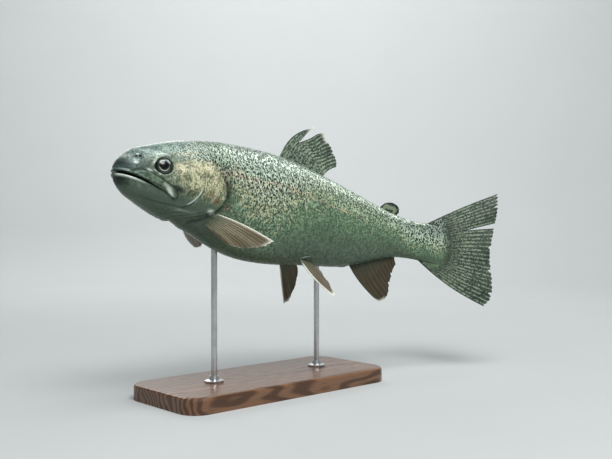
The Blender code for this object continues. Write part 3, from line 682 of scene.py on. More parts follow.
def shapeEyeHollow(skin, x, z):
    eyeX, eyeZ = headParts["eyeAt"]
    away = np.hypot(x - eyeX, z - eyeZ)
    ahead = np.maximum((eyeX - x) * 0.94 + (eyeZ - z) * 0.34, 0) / np.maximum(away, 1e-6)
    behind = np.maximum(x - eyeX, 0) / np.maximum(away, 1e-6)
    opening = headParts["eyeOpening"] + 0.0022 * ahead**7 + 0.0006 * behind**5  # pointed in front
    skin["out"] += 0.0007 * hump(away - opening - 0.0012, 0.0012)
    skin["out"] -= 0.0052 * (1 - ease(away, opening - 0.0010, opening + 0.0004))
    mark(skin, "creaseShade", 0.8 * hump(away - opening + 0.0003, 0.0006))
    skin["out"] += 0.0010 * hump(z - eyeZ - 0.0128, 0.0032) * hump(x - eyeX - 0.001, 0.013)  # brow
    skin["out"] -= 0.0008 * hump(z - 0.0195, 0.0030) * hump(x - 0.030, 0.012)
    skin["out"] += 0.0008 * hump(np.hypot(x - 0.0655, (z + 0.0035) * 0.8), 0.0105)  # cheek
    skin["out"] -= 0.0006 * hump(np.hypot((x - 0.058) * 0.6, z + 0.0075), 0.0028)


def shapeNostrils(skin, x, z):
    for nostrilX, nostrilZ, radius in headParts["nostrils"]:
        away = np.hypot(x - nostrilX, z - nostrilZ)
        skin["out"] -= 0.0020 * (1 - ease(away, radius * 0.5, radius * 1.25))
        skin["out"] += 0.00045 * hump(away - radius * 1.55, 0.0006)
        mark(skin, "creaseShade", 1 - ease(away, radius * 0.7, radius * 1.25))


def shapePlates(skin, x, z):  # the ridges and seams on the cheek and the gill cover
    ridge, share = curveDistance(headParts["preopercle"], x, z)
    behind = -ridge
    ends = fadedEnds(share, 0.12, 0.88)
    skin["out"] += 0.0011 * ease(behind, -0.0006, 0.0004) * np.exp(-np.maximum(behind, 0) / 0.006) * ends
    skin["out"] -= 0.0006 * hump(behind + 0.0013, 0.0008) * ends
    mark(skin, "creaseShade", 0.45 * hump(behind + 0.0012, 0.0007) * ends)
    # painted highlight along the preopercle's crest
    lit = ease(share, 0.42, 0.55) * (1 - ease(share, 0.80, 0.90))
    mark(skin, "pale", 0.95 * hump(behind - 0.0006, 0.0009) * lit)
    ridge, share = curveDistance(headParts["innerRidge"], x, z)
    skin["out"] -= 0.0004 * hump(ridge, 0.0012) * fadedEnds(share, 0.2, 0.8)
    seam, share = curveDistance(headParts["subopercle"], x, z)
    ends = fadedEnds(share, 0.1, 0.85)
    skin["out"] -= 0.0004 * hump(seam, 0.0007) * ends
    mark(skin, "creaseShade", 0.22 * hump(seam, 0.0006) * ends)


def shapeGillEdge(skin, x, z):  # returns the distance from the edge, positive on the gill cover
    edge, share = curveDistance(headParts["gillEdge"], x, z)
    edge = -edge
    starts = ease(share, 0.0, 0.10)
    skin["out"] += 0.0008 * ease(edge, -0.0002, 0.0008) * np.exp(-np.maximum(edge, 0) / 0.008) * starts
    past = np.maximum(-edge, 0)
    trough = np.where(edge < 0, np.exp(-(past / 0.0058) ** 2), 1.0) * (1 - ease(edge, -0.0010, 0.0001))
    skin["out"] -= 0.0026 * trough * starts
    skin["back"] += 0.0010 * hump(edge, 0.0010) * starts * (1 - ease(share, 0.55, 0.75))
    mark(skin, "creaseShade", 0.9 * hump(past - 0.0006, 0.0010) * (edge < 0.0002) * starts)
    skin["out"] -= 0.0003 * hump(edge - 0.0034, 0.0006) * starts * (1 - ease(share, 0.60, 0.75))
    rays = ease(-z, 0.0315, 0.0345) * ease(edge, 0.0008, 0.0025) * ease(x, 0.040, 0.058)
    wave = np.sin(edge * 2 * np.pi / headParts["throatRaySpacing"])
    skin["out"] += 0.00028 * wave * rays
    mark(skin, "creaseShade", 0.10 * rays * ease(-wave, 0.4, 1.0))
    return edge


def bronzed(x, z, edge):
    eyeX, eyeZ = headParts["eyeAt"]
    onCover = ease(edge, 0.0, 0.002) * ease(x, 0.066, 0.078) * ease(-z, -0.0260, -0.0150)
    cheek = hump(np.hypot((x - 0.068) * 0.8, z + 0.001), 0.0125)
    cheek = 0.75 * cheek * ease(np.hypot(x - eyeX, z - eyeZ), 0.009, 0.015)
    return np.maximum(onCover * ease(z + 0.10 * (x - 0.09), -0.0260, -0.0120), cheek)


def headRelief(x, z):  # outward and backward moves of the skin, the gill edge, and the marks on the head
    skin = {name: np.zeros(x.shape) for name in ("out", "back", "creaseShade", "pale")}
    for shape in (shapeMouth, shapeEyeHollow, shapeNostrils, shapePlates):
        shape(skin, x, z)
    edge = shapeGillEdge(skin, x, z)
    marks = {"creaseShade": skin["creaseShade"], "pale": skin["pale"], "bronze": bronzed(x, z, edge)}
    for name in headTouches:
        marks[name] = np.maximum(marks.get(name, 0), touched(name, x, z))
    return skin["out"], skin["back"], edge, marks


skinPlan = {
    "half": 134,  # faces from the back's middle to the belly's
    "noseRings": 62,
    "headStep": 0.00075,
    "headEnds": 0.128,
    "stepGrows": 1.06,
    "coarsest": 0.0046,
    "tailRings": 9,
    "coat": 0.0005,  # how far the scaled skin lies inside the body's outline
    "mouthRows": 2.0,  # how much closer the rows are there
    "eyeRows": 0.9,
    "reliefEnds": (0.136, 0.150),
    "pectoralRoot": (0.1155, -0.0365, 0.0085, 0.0026),  # x, z, width and height
    "vent": (0.346, 0.0055, 0.0012),  # x, width and height
    "girthSteps": 320,
}


def skinStations():
    length = trout["length"]
    turn = trout["noseRound"] * length
    found = list(turn * (1 - np.cos(np.linspace(0, math.pi / 2, skinPlan["noseRings"]))))
    step = skinPlan["headStep"]
    last = (trout["fleshEnd"] - trout["stalkRound"]) * length
    while found[-1] < last:
        if found[-1] > skinPlan["headEnds"]:
            step = min(step * skinPlan["stepGrows"], skinPlan["coarsest"])
        found.append(found[-1] + step)
    found[-1] = last
    rounding = trout["stalkRound"] * length
    found += list(last + rounding * np.sin(np.linspace(0, math.pi / 2, skinPlan["tailRings"])[1:]))
    return np.array(found)


def skinRows(x, half):  # angles of the rows round each ring, closer together at the mouth and the eye
    angles = np.linspace(math.pi / 2, -math.pi / 2, 601)[None, :]
    y, z = bodySection(x, angles)
    step = np.hypot(np.diff(y, axis=1), np.diff(z, axis=1))
    midX, midZ = x + 0 * step, (z[:, 1:] + z[:, :-1]) / 2
    eyeX, eyeZ = headParts["eyeAt"]
    nearMouth = hump(midZ - smoothThrough(headParts["gape"])(midX), 0.0040) * (1 - ease(midX, 0.055, 0.085))
    nearEye = hump(midZ - eyeZ, 0.011) * hump(midX - eyeX, 0.018)
    weight = step * (1 + skinPlan["mouthRows"] * nearMouth + skinPlan["eyeRows"] * nearEye) + 1e-9
    total = np.concatenate([np.zeros((len(x), 1)), np.cumsum(weight, axis=1)], axis=1)
    rows = np.linspace(0, 1, half + 1)
    return np.array([np.interp(rows, t / t[-1], angles[0]) for t in total])


def onceRound(right, turned):  # a half's columns down the right side, then its mirror's up the left
    return np.concatenate([right, turned * right[:, -2:0:-1]], axis=1)


def gridNormals(grid):
    around = np.roll(grid, -1, axis=1) - np.roll(grid, 1, axis=1)
    normal = np.cross(around, np.gradient(grid, axis=0))
    normal[0], normal[-1] = (-1, 0, 0), (1, 0, 0)
    normal = unit(normal)
    middle = grid * (1, 0, 0) + grid.mean(axis=1, keepdims=True) * (0, 0, 1)
    if ((grid - middle) * normal)[len(grid) // 2].sum() < 0:
        normal[1:-1] *= -1
    return normal


def makeSkin():
    stations = skinStations()
    x = stations[:, None]
    y, z = bodySection(x, skinRows(x, skinPlan["half"]))
    grid = np.stack([onceRound(x + 0 * y, 1), onceRound(y, -1), onceRound(z, 1)], axis=2)
    normal = gridNormals(grid)
    x, y, z = np.moveaxis(grid, 2, 0)
    out, back, edge, marks = headRelief(x, z)
    fading = 1 - ease(x, *skinPlan["reliefEnds"])
    nape, _ = curveDistance(headParts["nape"], x, z)
    scaled = np.maximum(ease(-edge, 0.001, 0.005), ease(-nape, 0.0, 0.004)) * ease(x, 0.09, 0.10)
    out = out * fading - skinPlan["coat"] * scaled
    rootX, rootZ, rootWide, rootHigh = skinPlan["pectoralRoot"]
    out += rootHigh * hump(np.hypot(x - rootX, (z - rootZ) * 0.9), rootWide)
    ventX, ventWide, ventHigh = skinPlan["vent"]
    out += ventHigh * hump(np.hypot(x - ventX, y * 1.5), ventWide) * (z < 0)
    backWay = np.array([1.0, 0, 0]) - normal * normal[..., :1]
    shaped = grid + normal * out[..., None] + backWay * (back * fading)[..., None]
    return stations, grid, normal, shaped, {name: value * fading for name, value in marks.items()}


def girthTable(stations, grid, shaped):  # the skin by station and by share of the way round from the back
    half = skinPlan["half"]
    bare = grid[:, :half + 1]
    step = np.linalg.norm(np.diff(bare, axis=1), axis=2)
    arcs = np.concatenate([np.zeros((len(step), 1)), np.cumsum(step, axis=1)], axis=1)
    count = skinPlan["girthSteps"]
    table = np.empty((len(stations), count + 1, 3))
    lateral = np.empty(len(stations))
    for i, arc in enumerate(arcs):
        at = np.linspace(0, arc[-1], count + 1)
        for k in range(3):
            table[i, :, k] = np.interp(at, arc, shaped[i, :half + 1, k])
        lateral[i] = np.interp(-lateralHeight(stations[i]), -bare[i, :, 2], arc)
    return table, arcs, lateral


stations, bareGrid, bareNormal, skinGrid, skinMarks = makeSkin()
surface, skinArcs, lateralArc = girthTable(stations, bareGrid, skinGrid)
halfGirth = skinArcs[:, -1]


def girthPlace(x, w):  # 1 on the back, 0 on the lateral line, -1 under the belly
    up = np.interp(x, stations, lateralArc)
    down = np.interp(x, stations, halfGirth) - up
    return np.where(w > 0, w / np.maximum(up, 1e-6), w / np.maximum(down, 1e-6))


def unwrapped(x, girth, side):  # the body laid flat, its right side above and its left side below
    return np.stack([x / 0.60 + 0.01, 0.5 + side * (0.25 + girth * 0.23)], axis=1)


def faceCorners(mesh):
    corners = np.empty(len(mesh.loops), np.int32)
    mesh.loops.foreach_get("vertex_index", corners)
    return corners


def writeUnwrap(mesh, places):
    mesh.uv_layers.new(name="OFBake").data.foreach_set("uv", places.astype(np.float32).ravel())


def ringPoints(grid):  # all points of the skin's rings, with only one at the snout and one at the tail
    rings = grid[1:-1]
    return np.concatenate([grid[0, :1], rings.reshape(-1, *rings.shape[2:]), grid[-1, :1]])


def buildSkinPiece():
    rings, around, _ = skinGrid.shape
    bare = ringPoints(bareGrid)
    end = len(bare) - 1
    faces = ringFaces(rings - 2, around, 1) + fanFaces(0, 1, around)
    faces += [fan[::-1] for fan in fanFaces(end, end - around, around)]
    facts = {"bodyPlace": bare} | {key: ringPoints(values) for key, values in skinMarks.items()}
    arcs = ringPoints(onceRound(skinArcs, 1))
    facts["girthPlace"] = girthPlace(bare[:, 0], np.interp(bare[:, 0], stations, lateralArc) - arcs)
    skin = newPiece("troutSkin", swim(ringPoints(skinGrid)), faces, skinFinish, facts)
    # unwrap of both sides, cut along the middle of the back and of the belly
    corners = faceCorners(skin.data)
    counts = np.array([len(face) for face in faces])
    middle = np.repeat(np.add.reduceat(bare[corners, 1], np.cumsum(counts) - counts) / counts, counts)
    flat = unwrapped(bare[corners, 0], facts["girthPlace"][corners], np.where(middle > 0, 1, -1))
    writeUnwrap(skin.data, flat)
    return skin


skin = buildSkinPiece()
print("skin shaped")
hand(skin, "trout_skin", "head", "trunk", "tail_stalk", "lower_jaw", "maxilla_left", "maxilla_right",
     "gill_cover_left", "gill_cover_right")


# Geometry node trees
def newTree(name, **wanted):
    tree = bpy.data.node_groups.new(name, "GeometryNodeTree")
    tree.interface.new_socket("Geometry", in_out="OUTPUT", socket_type="NodeSocketGeometry")
    for key, kind in ({"Geometry": "Geometry"} | wanted).items():
        tree.interface.new_socket(key, in_out="INPUT", socket_type="NodeSocket" + kind)
    return tree, tree.nodes.new("NodeGroupInput").outputs, tree.nodes.new("NodeGroupOutput")


def finished(tree, geometry, finish, end):
    real = put(tree, "GeometryNodeRealizeInstances", {0: geometry}).outputs[0]
    done = put(tree, "GeometryNodeSetMaterial", {"Geometry": real, "Material": finish}).outputs[0]
    tree.links.new(done, end.inputs[0])
    return tree


def numberNamed(tree, name):
    return put(tree, "GeometryNodeInputNamedAttribute", {"Name": name}, data_type="FLOAT").outputs[0]


def grown(seat, tree, values):  # runs a tree on a seat, gives its plain mesh and takes the seat away
    step = seat.modifiers.new(tree.name, "NODES")
    step.node_group = tree
    for socket in tree.interface.items_tree:
        if socket.in_out == "INPUT" and socket.name in values:
            step[socket.identifier] = values[socket.name]
    graph = bpy.context.evaluated_depsgraph_get()
    mesh = bpy.data.meshes.new_from_object(seat.evaluated_get(graph))
    bpy.data.objects.remove(seat)
    return mesh


def readFact(mesh, name, size):
    data = np.empty(len(mesh.vertices) * size, np.float32)
    mesh.attributes[name].data.foreach_get("vector" if size == 3 else "value", data)
    return data.reshape(-1, size).astype(float) if size > 1 else data.astype(float)


def readPlaces(mesh):
    data = np.empty(len(mesh.vertices) * 3, np.float32)
    mesh.vertices.foreach_get("co", data)
    return data.reshape(-1, 3).astype(float)


sides = ((-1, "Left"), (1, "Right"))
scalePlan = {
    "along": 0.0031,  # from one scale to the next in a row
    "across": 0.00205,  # from row to row
    "length": 0.0070,
    "width": 0.0047,
    "thickness": 0.00034,
    "lift": 5.0,  # degrees that the free edge stands off the skin
    "turn": 4.0,
    "sunk": 0.00030,
    "smallest": 0.62,
    "seed": 7,
    "patch": 0.003,  # length of one scale on the unwrap
    "first": 0.085,  # where the rows start and end
    "last": 0.519,
    "root": 0.088,  # where the first scale may be rooted
    "napeAbove": 0.0262,  # above this height the rows keep behind the nape, below it behind the gill edge
    "behindNape": 0.0005,
    "behindGill": 0.0032,
    "offMiddle": 0.0011,  # bare to each side of the back's and the belly's middle line
}


def makeScaleShape():  # one thin lens with a rounded free edge: length along +x, width from -1 to 1
    edge = ((0.0, 0.45), (0.36, 0.86), (0.64, 1.0), (0.84, 0.80), (0.96, 0.42))
    middle = ((0.0, 0.25), (0.36, 0.95), (0.64, 1.0), (0.84, 0.75), (1.0, 0.0))
    verts = [(a, 0.0, h) for a, h in middle]
    verts += [(a, b, 0.0) for a, b in edge] + [(a, -b, 0.0) for a, b in edge]
    rim = [0.0 if h else 1.0 for _, h in middle] + [1.0] * 10
    faces = [[k, k + 1, 6 + k, 5 + k] for k in range(4)]
    faces += [[10 + k, 11 + k, k + 1, k] for k in range(4)]
    faces += [[0, 5, 10], [*range(5, 10), 4, *range(14, 9, -1)]]
    return newPiece("scaleShape", verts, faces, scaleFinish, {"scaleRim": rim}, sharp=60)


def makeScaleTree():
    tree, given, end = newTree("troutScaleRows", Shape="Object", Length="Float", Width="Float",
                               Thickness="Float", Lift="Float", Turn="Float", Seed="Int", Finish="Material")
    size = numberNamed(tree, "scaleSize")
    shape = put(tree, "GeometryNodeObjectInfo", {"Object": given["Shape"]}).outputs["Geometry"]

    def chance(low, high, add):
        seed = plus(tree, given["Seed"], add)
        return put(tree, "FunctionNodeRandomValue", {2: low, 3: high, "Seed": seed},
                   data_type="FLOAT").outputs[1]

    spread = put(tree, "ShaderNodeCombineXYZ", {
        0: times(tree, given["Length"], size),
        1: times(tree, given["Width"], times(tree, size, chance(0.93, 1.07, 1))),
        2: times(tree, given["Thickness"], size)}).outputs[0]
    angles = put(tree, "ShaderNodeCombineXYZ", {
        0: times(tree, given["Turn"], chance(-0.8, 0.8, 2)),
        1: times(tree, given["Lift"], chance(-1.35, -0.75, 3)),
        2: times(tree, given["Turn"], chance(-1.0, 1.0, 4))}).outputs[0]
    turned = put(tree, "FunctionNodeEulerToRotation", {0: angles}).outputs[0]
    laid = put(tree, "GeometryNodeInstanceOnPoints", {"Points": given["Geometry"], "Instance": shape,
                                                      "Rotation": turned, "Scale": spread}).outputs[0]
    tinted = put(tree, "GeometryNodeStoreNamedAttribute", {"Geometry": laid, "Name": "scaleTint",
                                                           "Value": chance(0.0, 1.0, 5)},
                 data_type="FLOAT", domain="INSTANCE").outputs[0]
    return finished(tree, tinted, given["Finish"], end)


def onBody(x, w, side, height):  # the place at a length, an arc up from the lateral line and a height
    up = np.interp(x, stations, lateralArc)
    girth = np.interp(x, stations, halfGirth)
    count = surface.shape[1] - 1
    t = (up - w) / girth
    crossed = (t < 0) | (t > 1)
    t = np.where(t < 0, -t, np.where(t > 1, 2 - t, t))
    i = np.clip(np.interp(x, stations, np.arange(len(stations))), 0, len(stations) - 1.001)
    k = np.clip(t * count, 0, count - 0.001)
    i0, k0 = i.astype(int), k.astype(int)
    fi, fk0 = (i - i0)[:, None], (k - k0)[:, None]

    def sample(table):
        a = table[i0, k0] * (1 - fk0) + table[i0, k0 + 1] * fk0
        b = table[i0 + 1, k0] * (1 - fk0) + table[i0 + 1, k0 + 1] * fk0
        return a * (1 - fi) + b * fi

    place = sample(surface) + unit(sample(surfaceNormal)) * np.reshape(height, (-1, 1))
    place[:, 1] *= np.where(crossed, -1.0, 1.0) * side
    return place


def makeSurfaceNormal():
    around = np.gradient(surface, axis=1)
    around[:, 0] = (0, 1, 0)
    around[:, -1] = (0, -1, 0)
    out = np.cross(np.gradient(surface, axis=0), around)
    middle = len(surface) // 2, surface.shape[1] // 2
    out *= np.sign(out[middle][1] * surface[middle][1])
    out[:, (0, -1), 1] = 0
    return unit(out)


surfaceNormal = makeSurfaceNormal()


def scaleSizes(x):
    size = np.clip((np.interp(x, stations, halfGirth) / halfGirth.max()) ** 0.42, scalePlan["smallest"], 1)
    return size * (0.78 + 0.22 * ease(x, 0.10, 0.16)) * (1 - 0.28 * ease(x, 0.470, 0.512))


def scaleLattice(side):  # length, arc from the lateral line and size of every scale on one side
    fine = np.linspace(scalePlan["first"], scalePlan["last"], 3000)
    ladder = np.concatenate([[0], np.cumsum(np.diff(fine) / scaleSizes(fine)[1:])])
    places = []
    rows = int(halfGirth.max() / scalePlan["smallest"] / scalePlan["across"])
    for row in range(-rows, rows + 1):
        shift = 0.5 * (row % 2) + (0.25 if side > 0 else 0.0)
        steps = np.arange(0, ladder[-1] / scalePlan["along"] - 1) + shift
        x = np.interp(steps * scalePlan["along"], ladder, fine)
        size = scaleSizes(x)
        w = row * scalePlan["across"] * size
        up = np.interp(x, stations, lateralArc)
        down = np.interp(x, stations, halfGirth) - up
        keep = (w < up + 0.0006) & (w > -down - 0.0006)
        places.append(np.stack([x, w, size], axis=1)[keep])
    places = np.concatenate(places)
    x, y, z = onBody(places[:, 0], places[:, 1], 1, 0).T
    edge, _ = curveDistance(headParts["gillEdge"], x, z)
    nape, _ = curveDistance(headParts["nape"], x, z)
    behind = np.where(z > scalePlan["napeAbove"], -nape > scalePlan["behindNape"],
                      edge > scalePlan["behindGill"])
    clear = np.abs(y) > scalePlan["offMiddle"] * ease(x, 0.480, 0.490)
    return places[behind & clear & (x > scalePlan["root"])]


scaleShape = makeScaleShape()
scaleTree = makeScaleTree()


def grownScales(roots, sizes, plan, seed, **facts):  # scales on their flat roots
    seat = newPiece("rows", roots, [], scaleFinish, {"scaleSize": sizes, "scaleRoot": roots} | facts)
    return grown(seat, scaleTree, {
        "Shape": scaleShape, "Length": plan["length"], "Width": plan["width"] / 2,
        "Thickness": plan["thickness"], "Lift": math.radians(plan["lift"]),
        "Turn": math.radians(plan["turn"]), "Seed": seed, "Finish": scaleFinish})


def wrapScales(name, mesh, side, straight, facts, home, local):  # lays them on the fish and hands them in
    mesh.vertices.foreach_set("co", swim(straight).astype(np.float32).ravel())
    mesh.update()
    if side > 0:
        mesh.flip_normals()
    for key, values in ({"bodyPlace": straight} | facts).items():
        writeFact(mesh, key, values)
    # each scale's patch lies at its root's place on an unwrap of the body
    writeUnwrap(mesh, (home + local[:, :2] * scalePlan["patch"])[faceCorners(mesh)])
    for key in ("scaleRoot", "scaleHome"):
        if key in mesh.attributes:
            mesh.attributes.remove(mesh.attributes[key])
    hand(placed(name, mesh, sharp=60), "trout_skin")


def makeBodyScales(name, roots, sizes, side, seed):
    mesh = grownScales(roots, sizes, scalePlan, seed)
    flat, root, size = readPlaces(mesh), readFact(mesh, "scaleRoot", 3), readFact(mesh, "scaleSize", 1)
    x = flat[:, 0] - scalePlan["length"] * size * 0.5
    straight = onBody(x, flat[:, 1], side, flat[:, 2] - scalePlan["sunk"] * size)
    gill, _ = curveDistance(headParts["gillEdge"], straight[:, 0], straight[:, 2])
    # painted shade on the scales just behind the gill edge, low on the body
    shade = (1 - ease(gill, 0.0020, 0.0100)) * ease(-straight[:, 2], -0.0220, 0.0050)
    facts = {"girthPlace": girthPlace(x, flat[:, 1]), "bronze": 0 * size,
             "creaseShade": 0.80 * shade * ease(-gill, -0.0300, -0.0250)}
    facts |= {key: touched(key, straight[:, 0], straight[:, 2]) for key in headTouches}
    home = unwrapped(root[:, 0], girthPlace(root[:, 0], root[:, 1]), side)
    wrapScales(name, mesh, side, straight, facts, home, (flat - root) / scalePlan["length"])


def makeScales():
    for side, word in sides:
        lattice = scaleLattice(side)
        rear = lattice[:, 0] >= np.quantile(lattice[:, 0], 0.5)
        for part, (end, own) in enumerate((("Front", lattice[~rear]), ("Rear", lattice[rear]))):
            seed = scalePlan["seed"] + part + 2 * side
            makeBodyScales(f"scales{word}{end}", own * (1, 1, 0), own[:, 2], side, seed)


makeScales()

# Fins: thin sheets between a root curve and a tip curve, both listed from the front ray to the last
tailFan = {
    "roots": ((0.478, 0.0255), (0.501, 0.017), (0.507, 0.0), (0.501, -0.017), (0.467, -0.0255)),
    "tips": ((0.5815, 0.0885), (0.583, 0.066), (0.5815, 0.043), (0.578, 0.018), (0.5775, -0.003),
             (0.581, -0.024), (0.584, -0.045), (0.583, -0.064), (0.575, -0.0755)),
    "bow": 0.01, "flare": 0.05, "thick": (0.0026, 0.0004), "ray": 0.0010, "ripple": 0.0012,
    "look": "spotted",
    "paleEdge": 0.0,
}
dorsalFan = {
    "roots": ((0.2285, 0.055), (0.262, 0.056), (0.300, 0.047)),
    "tips": ((0.2845, 0.1158), (0.2915, 0.1115), (0.3015, 0.1127), (0.3083, 0.1058), (0.3150, 0.0965),
             (0.3235, 0.0866), (0.3252, 0.0731)),
    "bow": 0.12, "thick": (0.0024, 0.0004), "ray": 0.0010, "ripple": 0.0010, "look": "speckled",
    "paleEdge": 0.0,
}
finPlan = {
    "dorsalFinFront": dorsalFan | {
        "node": "dorsal_fin", "seed": 11, "rays": 4, "share": (0.0, 0.170), "tears": (),
        "opens": ((0.46, 0.0, 0.0), (0.60, 0.0, -0.010), (0.73, 0.0, -0.065), (0.87, 0.0, -0.130),
                  (1.0, 0.0, -0.158)),
        "paleTip": (0.5, 2.0, 0.80),
    },
    "dorsalFinRear": dorsalFan | {
        "seed": 18, "rays": 12, "share": (0.170, 1.0),
        "opens": ((0.45, 0.0, 0.0), (0.56, 0.100, 0.0), (0.70, 0.125, 0.0), (0.90, 0.070, 0.0),
                  (1.0, 0.070, 0.0)),
        "tears": ((0.30, 0.06, 0.03), (0.62, 0.07, 0.025)), "paleTip": (0.10, 0.26, 0.90),
    },
    "analFin": {
        "node": "anal_fin", "look": "dusky", "seed": 12, "rays": 12,
        "roots": ((0.3525, -0.046), (0.392, -0.033), (0.428, -0.022)),
        "tips": ((0.401, -0.0885), (0.414, -0.092), (0.4235, -0.080), (0.4265, -0.056), (0.4335, -0.038)),
        "bow": 0.05, "thick": (0.0024, 0.0004), "ray": 0.0010, "ripple": 0.0010,
        "tears": ((0.59, 0.06, 0.03), (0.77, 0.09, 0.03)), "paleTip": (0.17, 0.17, 0.92), "paleEdge": 0.0,
    },
    "tailFinUpper": tailFan | {
        "node": "caudal_fin", "seed": 13, "rays": 9, "share": (0.0, 0.283),
        "opens": ((0.43, 0.0, 0.0), (1.0, 0.0, -0.0245)),
        "tears": ((0.42, 0.05, 0.04),),
    },
    "tailFinLower": tailFan | {
        "seed": 14, "rays": 20, "share": (0.283, 1.0), "opens": ((0.43, 0.0, 0.0), (1.0, 0.0245, 0.0)),
        "tears": ((0.25, 0.05, 0.025), (0.535, 0.06, 0.02), (0.82, 0.04, 0.02)),
    },
}
pairedFins = {
    "pectoralFin": {
        "node": "pectoral_fin", "look": "ruddy", "seed": 15, "rays": 14,
        "left": {"root": (0.1145, 0.0235, -0.0325), "way": (0.689, 0.629, -0.360),
                 "chord": (-0.32, -0.095, -0.94)},
        "right": {"root": (0.1120, 0.0235, -0.0320), "way": (0.691, 0.679, -0.247),
                  "chord": (0.34, -0.72, -0.61)},
        "rootChord": 0.014, "inset": 0.007,
        "outline": ((0.073, 0.001), (0.068, 0.008), (0.0575, 0.016), (0.044, 0.0225), (0.030, 0.025),
                    (0.016, 0.0225)),
        "bow": 0.02, "cup": 0.05, "thick": (0.0030, 0.0004), "flesh": 0.0022, "ray": 0.0011,
        "ripple": 0.0007, "tears": ((0.50, 0.03, 0.03),), "paleTip": (0.0, 0.26, 0.92), "paleEdge": 0.045,
    },
    "pelvicFin": {
        "node": "pelvic_fin", "look": "brown", "seed": 16, "rays": 10,
        "left": {"root": (0.2615, 0.0170, -0.0620), "way": (0.353, 0.624, -0.697),
                 "chord": (0.84, -0.43, 0.325)},
        "right": {"root": (0.2575, 0.0170, -0.0640), "way": (0.537, 0.452, -0.713),
                  "chord": (0.877, -0.353, 0.325), "paleEdge": 0.030},
        "rootChord": 0.018, "inset": 0.007,
        "outline": ((0.062, 0.0), (0.0605, 0.0045), (0.052, 0.0115), (0.0395, 0.0175), (0.027, 0.0215),
                    (0.0145, 0.0230)),
        "bow": 0.02, "cup": 0.04, "thick": (0.0026, 0.0004), "flesh": 0.0010, "ray": 0.0010,
        "ripple": 0.0007, "tears": (), "paleTip": (0.0, 0.28, 0.90), "paleEdge": 0.06,
    },
}


def finCurves(plan, side):
    if "outline" not in plan:
        roots, tips = ([(x, 0.0, z) for x, z in plan[name]] for name in ("roots", "tips"))
    else:
        mirror = np.array([1, side, 1])
        way = unit(np.array(plan["way"]) * mirror)
        chord = np.array(plan["chord"]) * mirror
        chord = unit(chord - chord @ way * way)
        start = np.array(plan["root"]) * mirror
        roots = [start - way * plan["inset"] + chord * plan["rootChord"] * t for t in (0, 0.5, 1)]
        tips = [start + way * along + chord * out for along, out in plan["outline"]]
    return walkCurve(roots, 241), walkCurve(tips, 241)


def finPlaces(plan, curves, side, s, t):  # places for shares across the fin and along its rays
    s, t = np.broadcast_arrays(np.asarray(s, float), np.asarray(t, float))
    low, high = plan.get("share", (0.0, 1.0))
    if "opens" in plan:
        shares, lowShift, highShift = np.array(plan["opens"]).T
        low, high = low + np.interp(t, shares, lowShift), high + np.interp(t, shares, highShift)
    at = (low + (high - low) * np.clip(s, 0, 1)) * 240
    i = np.clip(at.astype(int), 0, 239)
    f = (at - i)[..., None]
    root, tip = (curve[i] * (1 - f) + curve[i + 1] * f for curve in curves)
    ray = tip - root
    length = np.linalg.norm(ray, axis=-1)
    flat = unit(np.cross(ray, curves[0][-1] - curves[0][0]))
    back = unit(np.cross(flat, ray)) * length[..., None]
    lean = np.sin(np.pi * t)
    ripple = plan["ripple"] * t**2 * np.sin(at / 240 * 17 + plan["seed"] + 2.2 * t)
    swell = plan.get("cup", 0.0) * side * length * lean + ripple
    bow = (plan["bow"] - plan.get("flare", 0.0) * (at / 240) ** 2) * lean
    return root + ray * t[..., None] - back * bow[..., None] + flat * swell[..., None]


def finMargin(plan, s):  # how far along its rays the web reaches
    bays = np.sin(np.pi * s * (plan["rays"] - 1)) ** 2
    margin = 0.995 - 0.013 * bays - 0.008 * np.sin(s * 23.0 + plan["seed"]) ** 2
    for at, depth, width in plan["tears"]:
        margin = margin - depth * np.clip(1 - np.abs(s - at) / width, 0, 1)
    return margin


def finFacts(plan, curves, s, t):
    s, t = np.broadcast_arrays(s, t)
    length = np.linalg.norm(curves[1] - curves[0], axis=1).mean()
    pale = np.zeros(s.shape)
    if "paleTip" in plan:
        middle, width, start = plan["paleTip"]
        pale = ease(t, start, 1.0) * (1 - ease(np.abs(s - middle), width * 0.5, width))
    if plan["paleEdge"]:
        front = 1 - ease(s, 0.2 * plan["paleEdge"], plan["paleEdge"])
        pale = np.maximum(pale, front * ease(t, 0.10, 0.25))
        pale = np.maximum(pale, 0.16 * ease(t, 0.95, 0.99))
    first = 40.0 * plan["seed"]
    place = np.stack([first + s * (plan["rays"] - 1), t * length / 0.0040, t], axis=-1)
    return {"finPlace": place.reshape(-1, 3), "finPale": pale.ravel()}


def fleshDepth(plan, s, t):  # extra thickness where the body runs out onto the fin
    low, high = plan.get("share", (0.0, 1.0))
    across = np.sin(np.pi * (low + (high - low) * s)) ** 0.5
    return plan.get("flesh", 0.0) * np.exp(-((t / 0.16) ** 2)) * across


def webHalf(plan, t):
    thin, root = plan["thick"][1], plan["thick"][0]
    return (thin + (root - thin) * np.clip(1 - t, 0, 1) ** 1.4) / 2


